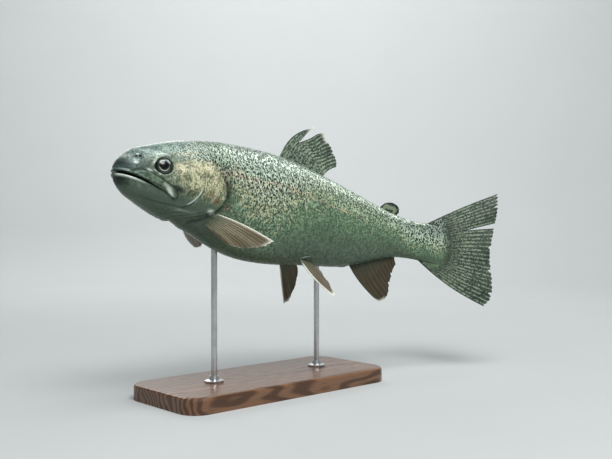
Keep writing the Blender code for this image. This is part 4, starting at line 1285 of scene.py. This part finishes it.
def makeFinWeb(name, plan, curves, side):
    columns, rows = (plan["rays"] - 1) * 6 + 1, 30
    s = np.linspace(0, 1, columns)[:, None]
    t = np.linspace(0, 1, rows)[None, :] ** 0.92 * finMargin(plan, s)
    middle = finPlaces(plan, curves, side, s, t)
    normal = unit(np.cross(np.gradient(middle, axis=1), np.gradient(middle, axis=0)))
    thick = 2 * webHalf(plan, t) * (0.75 + 0.25 * np.cos(2 * np.pi * s * (plan["rays"] - 1)))
    thick = thick + fleshDepth(plan, s, t)
    faced = [middle + sign * normal * thick[..., None] / 2 for sign in (1, -1)]
    index, quads = sheetFaces(columns, rows)
    total = columns * rows
    rim = np.concatenate([index[:, 0], index[-1, 1:], index[-2::-1, -1], index[0, -2:0:-1]])
    nextRim = np.roll(rim, -1)
    edge = np.stack([nextRim, rim, rim + total, nextRim + total], axis=-1)
    faces = quads.tolist() + (quads[:, ::-1] + total).tolist() + edge.tolist()
    verts = swim(np.concatenate([part.reshape(-1, 3) for part in faced]))
    facts = {key: np.concatenate([value, value]) for key, value in finFacts(plan, curves, s, t).items()}
    return newPiece(name, verts, outward(verts, faces), finFinishes[plan["look"]][0], facts, sharp=50)


def rayLines(plan):  # every ray's trunk and branches, as shares across and along the fin with widths
    chance = np.random.default_rng(plan["seed"])
    gap = 1 / (plan["rays"] - 1)
    for k in range(plan["rays"]):
        home = min(max(k * gap, 0.006), 0.994)
        first, second = 0.38 + 0.10 * chance.random(), 0.64 + 0.10 * chance.random()
        bend, end = chance.uniform(-0.05, 0.05), chance.uniform(0.0, 0.012)
        lead = k == 0 or k == plan["rays"] - 1

        def line(start, stop, count, fork, twig, size):
            t = np.linspace(start, stop, count)
            s = home + gap * (0.16 * fork * ease(t, first, 0.95) + 0.085 * twig * ease(t, second, 1.0)
                              + bend * np.sin(np.pi * t * 2.3))
            s = np.clip(s, 0.004, 0.996)
            t = np.minimum(t, finMargin(plan, s) + 0.004 - end)
            return s, t, plan["ray"] * size * (0.26 + 0.74 * (1 - t) ** 0.9)

        if lead:
            yield line(0.0, 1.0, 16, 0, 0, 1.0)
            continue
        yield line(0.0, first, 8, 0, 0, 1.0)
        for fork in (-1, 1):
            yield line(first, second, 6, fork, 0, 0.86)
            for twig in (-1, 1):
                yield line(second, 1.0, 8, fork, twig, 0.74)


def makeRayTree():
    tree, given, end = newTree("troutFinRays", Width="Float", Sides="Int", Finish="Material")
    line = put(tree, "GeometryNodeMeshToCurve", {0: given["Geometry"]}).outputs[0]
    width = numberNamed(tree, "rayWidth")
    ring = put(tree, "GeometryNodeCurvePrimitiveCircle", {"Resolution": given["Sides"],
                                                          "Radius": given["Width"]}).outputs[0]
    tube = put(tree, "GeometryNodeCurveToMesh", {"Curve": line, "Profile Curve": ring, "Scale": width,
                                                 "Fill Caps": True}).outputs[0]
    return finished(tree, tube, given["Finish"], end)


rayTree = makeRayTree()


def makeFinRays(name, plan, curves, side):
    places, widths, links = [], [], []
    facts = {"finPlace": [], "finPale": []}
    for s, t, width in rayLines(plan):
        start = sum(map(len, widths))
        places.append(finPlaces(plan, curves, side, s, t))
        widths.append(width)
        links += [(start + k, start + k + 1) for k in range(len(s) - 1)]
        for key, value in finFacts(plan, curves, s, t).items():
            facts[key].append(value)
    mesh = bpy.data.meshes.new(name)
    mesh.from_pydata(swim(np.concatenate(places)).tolist(), links, [])
    for key, value in (facts | {"rayWidth": widths}).items():
        writeFact(mesh, key, np.concatenate(value))
    finish = finFinishes[plan["look"]][1]
    return placed(name, grown(placed("rays", mesh), rayTree, {"Width": 1.0, "Sides": 6, "Finish": finish}))


finLooks = {
    "spotted": {"web": (0.205, 0.270, 0.188), "ray": (0.032, 0.042, 0.030), "root": (0.062, 0.076, 0.053),
                "spots": 0.92, "alpha": 0.90},
    "speckled": {"web": (0.250, 0.330, 0.235), "ray": (0.032, 0.042, 0.032), "root": (0.140, 0.190, 0.135),
                 "spots": 0.92, "alpha": 0.88},
    "dusky": {"web": (0.068, 0.056, 0.034), "ray": (0.038, 0.030, 0.019), "root": (0.058, 0.068, 0.044),
              "spots": 0.0, "alpha": 0.96},
    "ruddy": {"web": (0.172, 0.145, 0.084), "ray": (0.100, 0.085, 0.052), "root": (0.090, 0.118, 0.076),
              "spots": 0.0, "alpha": 0.92},
    "brown": {"web": (0.122, 0.102, 0.062), "ray": (0.060, 0.049, 0.031), "root": (0.072, 0.088, 0.058),
              "spots": 0.0, "alpha": 0.94},
}


def makeFinFinish(name, look, rays):
    finish, tree, shader = newFinish(name, coatWeight=0.05, coatRoughness=0.25)
    if not rays:
        shader.inputs["Alpha"].default_value = look["alpha"]
    place = fact(tree, "finPlace", "Vector")
    across, along, share = parts(tree, place)
    spread = remap(tree, share, 0.30, 0.95, 0.14, 0.38, smooth=False)
    streak = remap(tree, minus(tree, zigzag(tree, across), spread), 0.06, -0.10)
    blotch = noise(tree, stretched(tree, place, 0.55, 0.35, 0.0), 1.0, 3.0, 0.6)
    darker, paler = tuple(0.5 * c for c in look["web"]), tuple(min(3.2 * c, 0.5) for c in look["web"])
    base = mixed(tree, remap(tree, blotch, 0.35, 0.70, 0.0, 0.45), look["web"], darker)
    base = mixed(tree, 1.0 if rays else times(tree, streak, 0.85), base, look["ray"])
    if rays:  # short pale joints along each ray
        joint = zigzag(tree, times(tree, along, 2.6))
        base = mixed(tree, remap(tree, joint, 0.38, 0.49, 0.0, 0.18), base, paler)
    rooted = plus(tree, share, sway(tree, blotch, 0.3, 0.7, 0.1))
    base = mixed(tree, remap(tree, rooted, 0.50, 0.10, 0.0, 0.82), base, look["root"])
    if look["spots"]:
        bent = shaken(tree, stretched(tree, place, 2.3, 1.45, 0.0), place, 1.4, (1.1, 1.1, 0.0))
        edge = remap(tree, blotch, 0.3, 0.7, 0.38, 0.60, smooth=False)
        spots = remap(tree, minus(tree, cells(tree, bent, 1.0), edge), 0.03, -0.06)
        base = mixed(tree, times(tree, spots, look["spots"]), base, markings["spot"])
    base = mixed(tree, times(tree, fact(tree, "finPale"), 0.95), base, markings["finEdge"])
    wear(tree, shader, base, remap(tree, blotch, 0.3, 0.7, 0.32, 0.50))
    bumped(tree, shader, noise(tree, stretched(tree, place, 3.0, 1.2, 0.0), 2.0, 3.0, 0.55), 0.0004, 0.6)
    return finish


finFinishes = {key: [makeFinFinish(f"{key}Fin{part}", look, part == "Rays") for part in ("Web", "Rays")]
               for key, look in finLooks.items()}

tailScales = {
    "length": 0.0038,
    "width": 0.0026,
    "thickness": 0.000238,
    "along": 0.0019,
    "across": 0.0013,
    "lift": 4.0,
    "turn": 4.0,
    "reach": 0.17,  # share of the fin that they cover
    "field": (0.075, 0.10),  # the flat field on which they are grown, along and across
    "seed": 40,
}


def stalkHalf(x, z):  # half the body's thickness where the tail stalk runs out onto the fin
    y, rows = bodySection(x[:, None], np.linspace(-math.pi / 2, math.pi / 2, 61)[None, :])
    return np.array([np.interp(z[k], rows[k], y[k], left=0, right=0) for k in range(len(x))])


def tailLattice(plan, curves, long, wide):  # shares across and along the fin, and size, of every scale
    end = tailScales["reach"] * 1.4
    rows = []
    t = 0.0
    while t < end:
        count = int((wide[0] + (wide[1] - wide[0]) * t) / tailScales["across"])
        s = (np.arange(count) + 0.5 * (len(rows) % 2) + 0.25) / count
        rows.append(np.stack([s, np.full(count, t), np.full(count, 1.0 - 0.50 * t / end)], axis=1))
        t += tailScales["along"] / long * (1.0 - 0.5 * t)
    lattice = np.concatenate(rows)
    s, t = lattice[:, 0], lattice[:, 1]
    lobe = tailScales["reach"] * (0.85 + 0.50 * np.abs(2 * s - 1) ** 2)
    chance = np.random.default_rng(tailScales["seed"]).random(len(lattice))
    lattice = lattice[(t < lobe * (0.72 + 0.35 * chance)) & (s > 0.01) & (s < 0.99)]
    spot = finPlaces(plan, curves, 0, lattice[:, 0], lattice[:, 1])
    return lattice[stalkHalf(spot[:, 0], spot[:, 2]) < webHalf(plan, lattice[:, 1]) + 0.0002]


def makeTailScales():  # smaller scales that run from the tail stalk out onto the tail fin
    plan = tailFan | {"seed": finPlan["tailFinUpper"]["seed"]}
    curves = finCurves(plan, 0)
    long = np.linalg.norm(curves[1] - curves[0], axis=1).mean()
    wide = [np.linalg.norm(np.diff(curve, axis=0), axis=1).sum() for curve in curves]
    lattice = tailLattice(plan, curves, long, wide)
    along, across = tailScales["field"]
    flat = np.stack([lattice[:, 1] * along, (lattice[:, 0] - 0.5) * across, 0 * lattice[:, 0]], axis=1)
    for side, word in sides:
        mesh = grownScales(flat, lattice[:, 2], tailScales, tailScales["seed"] + side, scaleHome=lattice)
        local = readPlaces(mesh) - readFact(mesh, "scaleRoot", 3)
        homeS, homeT, _ = readFact(mesh, "scaleHome", 3).T
        s = np.clip(homeS + local[:, 1] / (wide[0] + (wide[1] - wide[0]) * homeT), 0.002, 0.998)
        t = np.maximum(homeT + local[:, 0] / long, 0)
        straight = finPlaces(plan, curves, 0, s, t)
        straight[:, 1] += side * (webHalf(plan, t) + 0.00020 + local[:, 2])
        girth = (homeS - 0.5) * -1.9  # nearly 1 at the upper edge, nearly -1 at the lower
        facts = {"girthPlace": girth} | {key: 0 * girth for key in ("creaseShade", "bronze", *headTouches)}
        home = unwrapped(0.52 + 0.07 * homeT, girth, side)
        wrapScales("scalesTail" + word, mesh, side, straight, facts, home, local / tailScales["length"])


def makeFins():
    made = [(name, plan, 0, plan.get("node")) for name, plan in finPlan.items()]
    for name, plan in pairedFins.items():
        made += [(name + word, plan | plan[word.lower()], side, f"{plan['node']}_{word.lower()}")
                 for side, word in sides]
    for name, plan, side, node in made:
        curves = finCurves(plan, side)
        hand(makeFinWeb(name, plan, curves, side), "fin", *([node] if node else []))
        hand(makeFinRays(name + "Rays", plan, curves, side), "fin")


makeFins()
makeTailScales()
bpy.data.objects.remove(scaleShape)

adipose = {
    "roots": ((0.398, 0.030), (0.412, 0.028), (0.426, 0.024)),
    "tips": ((0.410, 0.0425), (0.423, 0.0450), (0.4325, 0.0395), (0.4325, 0.0330)),
    "bow": 0.05, "ripple": 0.0, "seed": 17, "thick": 0.0040,
    "olive": (0.150, 0.190, 0.125), "edge": (0.010, 0.018, 0.014), "spot": (0.012, 0.022, 0.017),
}


def makeAdiposeFinish():
    finish, tree, shader = newFinish("adiposeFin", coatWeight=0.3, coatRoughness=0.18)
    place = fact(tree, "bodyPlace", "Vector")
    soft = plus(tree, fact(tree, "rim"), sway(tree, noise(tree, place, 400.0, 3.0), 0.3, 0.7, 0.12))
    base = mixed(tree, remap(tree, soft, 0.66, 0.80), adipose["olive"], adipose["edge"])
    base = mixed(tree, remap(tree, soft, 0.44, 0.32), base, adipose["spot"])
    wear(tree, shader, base, remap(tree, soft, 0.0, 1.0, 0.34, 0.46))
    bumped(tree, shader, noise(tree, place, 700.0, 3.0), 0.0004, 0.6)
    return finish


def makeAdipose():
    curves = finCurves(adipose, 0)
    columns, rows = 40, 22
    turn = np.linspace(0, math.pi, columns)[:, None]
    s = (1 - np.cos(turn)) / 2
    t = np.sin(np.linspace(0, math.pi / 2, rows))[None, :]
    middle = finPlaces(adipose, curves, 0, s, t)
    thick = adipose["thick"] * np.sqrt(np.maximum(1 - t**2, 0)) * np.sin(turn) ** 0.6 * (1 - 0.45 * t)
    away = np.maximum(thick, 0)[..., None] * (0, 0.5, 0)
    index, quads = sheetFaces(columns, rows)
    total = columns * rows
    root = index[:, 0]
    seam = np.stack([root[1:], root[:-1], root[:-1] + total, root[1:] + total], axis=-1)
    faces = quads.tolist() + (quads[:, ::-1] + total).tolist() + seam.tolist()
    straight = np.concatenate([(middle + away).reshape(-1, 3), (middle - away).reshape(-1, 3)])
    rim = np.maximum(t + 0 * s, np.abs(2 * s - 1) + 0 * t).ravel()
    piece = newPiece("adiposeFin", swim(straight), faces, makeAdiposeFinish(),
                     {"bodyPlace": straight, "rim": np.concatenate([rim, rim])})
    merged = bmesh.new()
    merged.from_mesh(piece.data)
    bmesh.ops.remove_doubles(merged, verts=merged.verts, dist=1e-6)
    bmesh.ops.recalc_face_normals(merged, faces=merged.faces)
    merged.to_mesh(piece.data)
    merged.free()
    hand(piece, "fin", "adipose_fin")


makeAdipose()

flap = {
    "start": 0.2565,
    "length": 0.018,
    "width": 0.0040,
    "thick": 0.0012,
    "low": 0.885,  # share of the way round from the back
    "drop": 0.0050,
    "lift": 0.0012,
    "rings": 16,
    "around": 12,
}


def makeFlaps():  # the pointed scale beside the root of each pelvic fin
    rings, around = flap["rings"], flap["around"]
    turn = np.linspace(0, 2 * math.pi, around, endpoint=False)
    tip = range((rings - 1) * around, rings * around)
    faces = ringFaces(rings, around) + [[*range(around)], [*tip][::-1]]
    for side, word in sides:
        verts = []
        for t in np.linspace(0, 1, rings):
            x = np.full(around, flap["start"] + flap["length"] * t)
            low = np.interp(x, stations, lateralArc) - np.interp(x, stations, halfGirth) * flap["low"]
            full = max(math.sin(math.pi * (0.04 + 0.96 * t)) ** 0.5 * (1 - t) ** 0.35, 0.02) / 2
            w = low + flap["drop"] * t + flap["width"] * full * np.cos(turn)
            verts.append(onBody(x, w, side, flap["lift"] * t - 0.0002 + flap["thick"] * full * np.sin(turn)))
        verts = np.concatenate(verts)
        shaped = swim(verts)
        piece = newPiece("pelvicFlap" + word, shaped, outward(shaped, faces), skinFinish,
                         {"bodyPlace": verts, "girthPlace": np.full(len(verts), -0.5),
                          "pale": np.full(len(verts), 0.3)}, sharp=60)
        hand(piece, "trout_skin")


makeFlaps()

eye = {
    "radius": 0.0094,
    "depth": 0.0060,
    "proud": 0.0026,
    "rings": 34,
    "around": 72,
    "domeTurn": 82,  # degrees of the dome, and how wide they are kept
    "domeWidth": 0.94,
    "backRings": ((1.0, 0.0012), (0.93, 0.0026), (0.70, 0.0036)),  # share of the width, and how far behind
    "pupil": 0.51,  # shares of the radius
    "ring": 0.555,
    "iris": 0.86,
    "looks": (0.14, -0.02),  # how far the pupil sits forward and up, in radii
    "black": (0.0025, 0.003, 0.004),
    "dark": (0.022, 0.036, 0.032),
    "light": (0.075, 0.100, 0.080),
    "sky": (0.300, 0.400, 0.400),
    "gilt": (0.620, 0.640, 0.520),
    "back": (0.010, 0.014, 0.015),
    "rim": (0.014, 0.016, 0.015),
}


def makeEyeFinish():
    finish, tree, shader = newFinish("troutEye", roughness=0.22, coatWeight=0.6, coatRoughness=0.03,
                                     coatIor=1.4)
    place = fact(tree, "eyePlace", "Vector")  # forward, up and distance from the middle, in radii
    ahead, above, out = parts(tree, place)
    forward, up = minus(tree, ahead, eye["looks"][0]), minus(tree, above, eye["looks"][1])
    away = work(tree, "SQRT", plus(tree, times(tree, forward, forward), times(tree, up, up)))
    grain = noise(tree, stretched(tree, place, 1.0, 1.0, 0.0), 7.0, 4.0, 0.6)
    point = times(tree, remap(tree, forward, 0.30, 0.52), remap(tree, work(tree, "ABSOLUTE", up), 0.16, 0.0))
    pupil = plus(tree, eye["pupil"], times(tree, point, 0.07))
    # painted highlight on the iris, up and to the rear of the pupil
    highlightPlace = times(tree, remap(tree, up, 0.15, 0.50), remap(tree, forward, 0.25, -0.25))
    ring = times(tree, remap(tree, away, eye["ring"] + 0.08, eye["ring"]),
                 remap(tree, up, 0.10, -0.40, 0.15, 1.0))
    iris = mixed(tree, remap(tree, grain, 0.38, 0.62), eye["dark"], eye["light"])
    iris = mixed(tree, times(tree, highlightPlace, 0.60), iris, eye["sky"])
    iris = mixed(tree, ring, iris, eye["gilt"])
    iris = mixed(tree, remap(tree, forward, -0.62, -0.80, 0.0, 0.85), iris, eye["back"])
    rimStart, rimEnd = eye["iris"] - 0.06, eye["iris"] + 0.04
    iris = mixed(tree, remap(tree, out, rimStart, rimEnd), iris, eye["rim"])
    edge = remap(tree, minus(tree, away, pupil), 0.0, 0.025)
    wear(tree, shader, mixed(tree, edge, eye["black"], iris),
         metal=times(tree, edge, remap(tree, out, rimEnd, rimStart), 0.65))
    bumped(tree, shader, grain, 0.0002, 0.35)
    return finish


def eyeSeat(side):  # the place of the eye's middle, and the ways out, forward and up from it
    eyeX, eyeZ = headParts["eyeAt"]
    half = skinPlan["half"]
    columns = slice(1, half) if side > 0 else slice(half + 1, None)
    own = bareGrid[:, columns].reshape(-1, 3)
    pick = np.argmin((own[:, 0] - eyeX) ** 2 + (own[:, 2] - eyeZ) ** 2)
    out = bareNormal[:, columns].reshape(-1, 3)[pick]
    forward = unit(np.array([-1.0, 0, 0]) - out * -out[0])
    up = np.cross(out, forward)
    return np.array([eyeX, own[pick, 1], eyeZ]), out, forward, unit(up) * np.sign(up[2])


def makeEyes():
    finish = makeEyeFinish()
    around = eye["around"]
    shares = np.sin(np.linspace(0, math.radians(eye["domeTurn"]), eye["rings"])) * eye["domeWidth"]
    outline = [(r, -eye["depth"] * (1 - math.sqrt(1 - r * r))) for r in shares]
    edge = outline[-1]
    outline += [(edge[0] * narrower, edge[1] - behind) for narrower, behind in eye["backRings"]]
    rings = len(outline) - 1
    faces = fanFaces(0, 1, around) + ringFaces(rings, around, 1)
    faces.append([*range(1 + (rings - 1) * around, 1 + rings * around)][::-1])
    turn = np.arange(around) * 2 * math.pi / around
    for side, word in sides:
        spot, out, forward, up = eyeSeat(side)
        verts, facts = [spot[None] + out * eye["proud"]], [np.zeros((1, 3))]
        for r, height in outline[1:]:
            f, u = r * np.cos(turn)[:, None], r * np.sin(turn)[:, None]
            verts.append(spot + out * (eye["proud"] + height) + (forward * f + up * u) * eye["radius"])
            facts.append(np.concatenate([f, u, 0 * f + r], axis=1))
        shaped = swim(np.concatenate(verts))
        piece = newPiece("eye" + word, shaped, outward(shaped, faces), finish,
                         {"eyePlace": np.concatenate(facts)}, sharp=40)
        hand(piece, "eye", f"eye_{word.lower()}")


makeEyes()

stand = {
    "wood": ((0.072, 0.034, 0.018), (0.175, 0.090, 0.048)),
    "pores": (0.022, 0.011, 0.007),
    "steel": ((0.60, 0.60, 0.61), (0.44, 0.44, 0.45)),
}


def makeWoodFinish():
    finish, tree, shader = newFinish("standWalnut", coatWeight=0.35, coatRoughness=0.22)
    place = put(tree, "ShaderNodeTexCoord").outputs["Object"]
    warp = times(tree, noise(tree, stretched(tree, place, 3.0, 14.0, 14.0), 1.0, 3.0), 2.6)
    bent = moved(tree, stretched(tree, place, 2.2, 30.0, 30.0),
                 put(tree, "ShaderNodeCombineXYZ", {1: warp}).outputs[0])
    rings = put(tree, "ShaderNodeTexWave", {"Vector": bent, "Scale": 1.3, "Distortion": 2.4, "Detail": 3.0,
                                            "Detail Scale": 1.4}, bands_direction="Y").outputs[1]
    pores = noise(tree, stretched(tree, place, 60.0, 1500.0, 1500.0), 1.0, 2.0)
    base = mixed(tree, remap(tree, rings, 0.1, 0.9), *stand["wood"])
    base = mixed(tree, remap(tree, pores, 0.58, 0.72, 0.0, 0.6), base, stand["pores"])
    wear(tree, shader, base, remap(tree, pores, 0.4, 0.7, 0.34, 0.50))
    bumped(tree, shader, times(tree, pores, -1.0), 0.0003, 0.35)
    return finish


def makeSteelFinish():
    finish, tree, shader = newFinish("standSteel", metallic=1.0)
    place = put(tree, "ShaderNodeTexCoord").outputs["Object"]
    lines = noise(tree, stretched(tree, place, 260.0, 260.0, 5200.0), 1.0, 3.0, 0.6)
    smears = remap(tree, noise(tree, place, 60.0, 3.0), 0.35, 0.7, 0.0, 0.5)
    wear(tree, shader, mixed(tree, smears, *stand["steel"]), remap(tree, lines, 0.3, 0.7, 0.22, 0.38))
    bumped(tree, shader, lines, 0.00015, 0.4)
    return finish


def finishStand():
    wood, steel = makeWoodFinish(), makeSteelFinish()
    for name, node in nodes.items():
        if name.startswith("stand_"):
            for slot in node.material_slots:
                slot.material = wood if name == "stand_base" else steel
    print("stand finished")


finishStand()

stage = {
    "floor": ((0.42, 0.44, 0.44), (0.40, 0.42, 0.42)),
    "radius": 3.2,
    "wall": 3.0,
    "bend": 1.4,
    "bendSteps": 12,
    "around": 96,
}
lamps = {
    "top": {"place": (-0.25, -0.85, 1.9), "size": 1.4, "power": 45},
    "sheen": {"place": (1.5, 0.0, 1.6), "size": 1.0, "power": 8},
    "key": {"place": (-0.4, -1.5, 1.8), "size": 0.8, "power": 20},
    "behind": {"place": (0.5, 1.8, 1.3), "size": 1.2, "power": 9},
    "backdrop": {"place": (1.1, 1.2, 2.4), "size": 1.5, "power": 66, "aim": (2.6, 2.8, 1.0)},
}
lampAim = (0, 0, 0.2)  # where those without an aim of their own point
surround = {"colour": (0.86, 0.93, 0.95, 1), "strength": 0.20}


def makeStage():  # a round floor that bends up into a wall
    flat, bend = stage["radius"] - stage["bend"], stage["bend"]
    path = [(flat, 0.0)]
    for t in np.linspace(0, math.pi / 2, stage["bendSteps"] + 1)[1:]:
        path.append((flat + bend * math.sin(t), bend * (1 - math.cos(t))))
    path.append((stage["radius"], stage["wall"]))
    around = stage["around"]
    turn = np.arange(around) * 2 * math.pi / around
    rings = [np.stack([r * np.cos(turn), r * np.sin(turn), 0 * turn + z], axis=1) for r, z in path]
    faces = fanFaces(0, 1, around) + ringFaces(len(path), around, 1)
    finish, tree, shader = newFinish("studioFloor", roughness=0.9)
    place = put(tree, "ShaderNodeTexCoord").outputs["Object"]
    wear(tree, shader, mixed(tree, noise(tree, place, 3.0), *stage["floor"]))
    newPiece("studioFloor", np.concatenate([np.zeros((1, 3)), *rings]), faces, finish)
    print("floor laid")


def makeLights():
    for name, lamp in lamps.items():
        data = bpy.data.lights.new(name, "AREA")
        data.energy = lamp["power"]
        data.size = lamp["size"]
        light = bpy.data.objects.new(name, data)
        collection.objects.link(light)
        light.location = lamp["place"]
        aim = Vector(lamp.get("aim", lampAim)) - light.location
        light.rotation_euler = aim.to_track_quat("-Z", "Y").to_euler()
    world = bpy.data.worlds.new("studio")
    world.use_nodes = True
    background = world.node_tree.nodes["Background"]
    background.inputs[0].default_value = surround["colour"]
    background.inputs[1].default_value = surround["strength"]
    bpy.context.scene.world = world
    print("lights hung")


makeStage()
makeLights()
bpy.context.scene.view_settings.view_transform = "Standard"
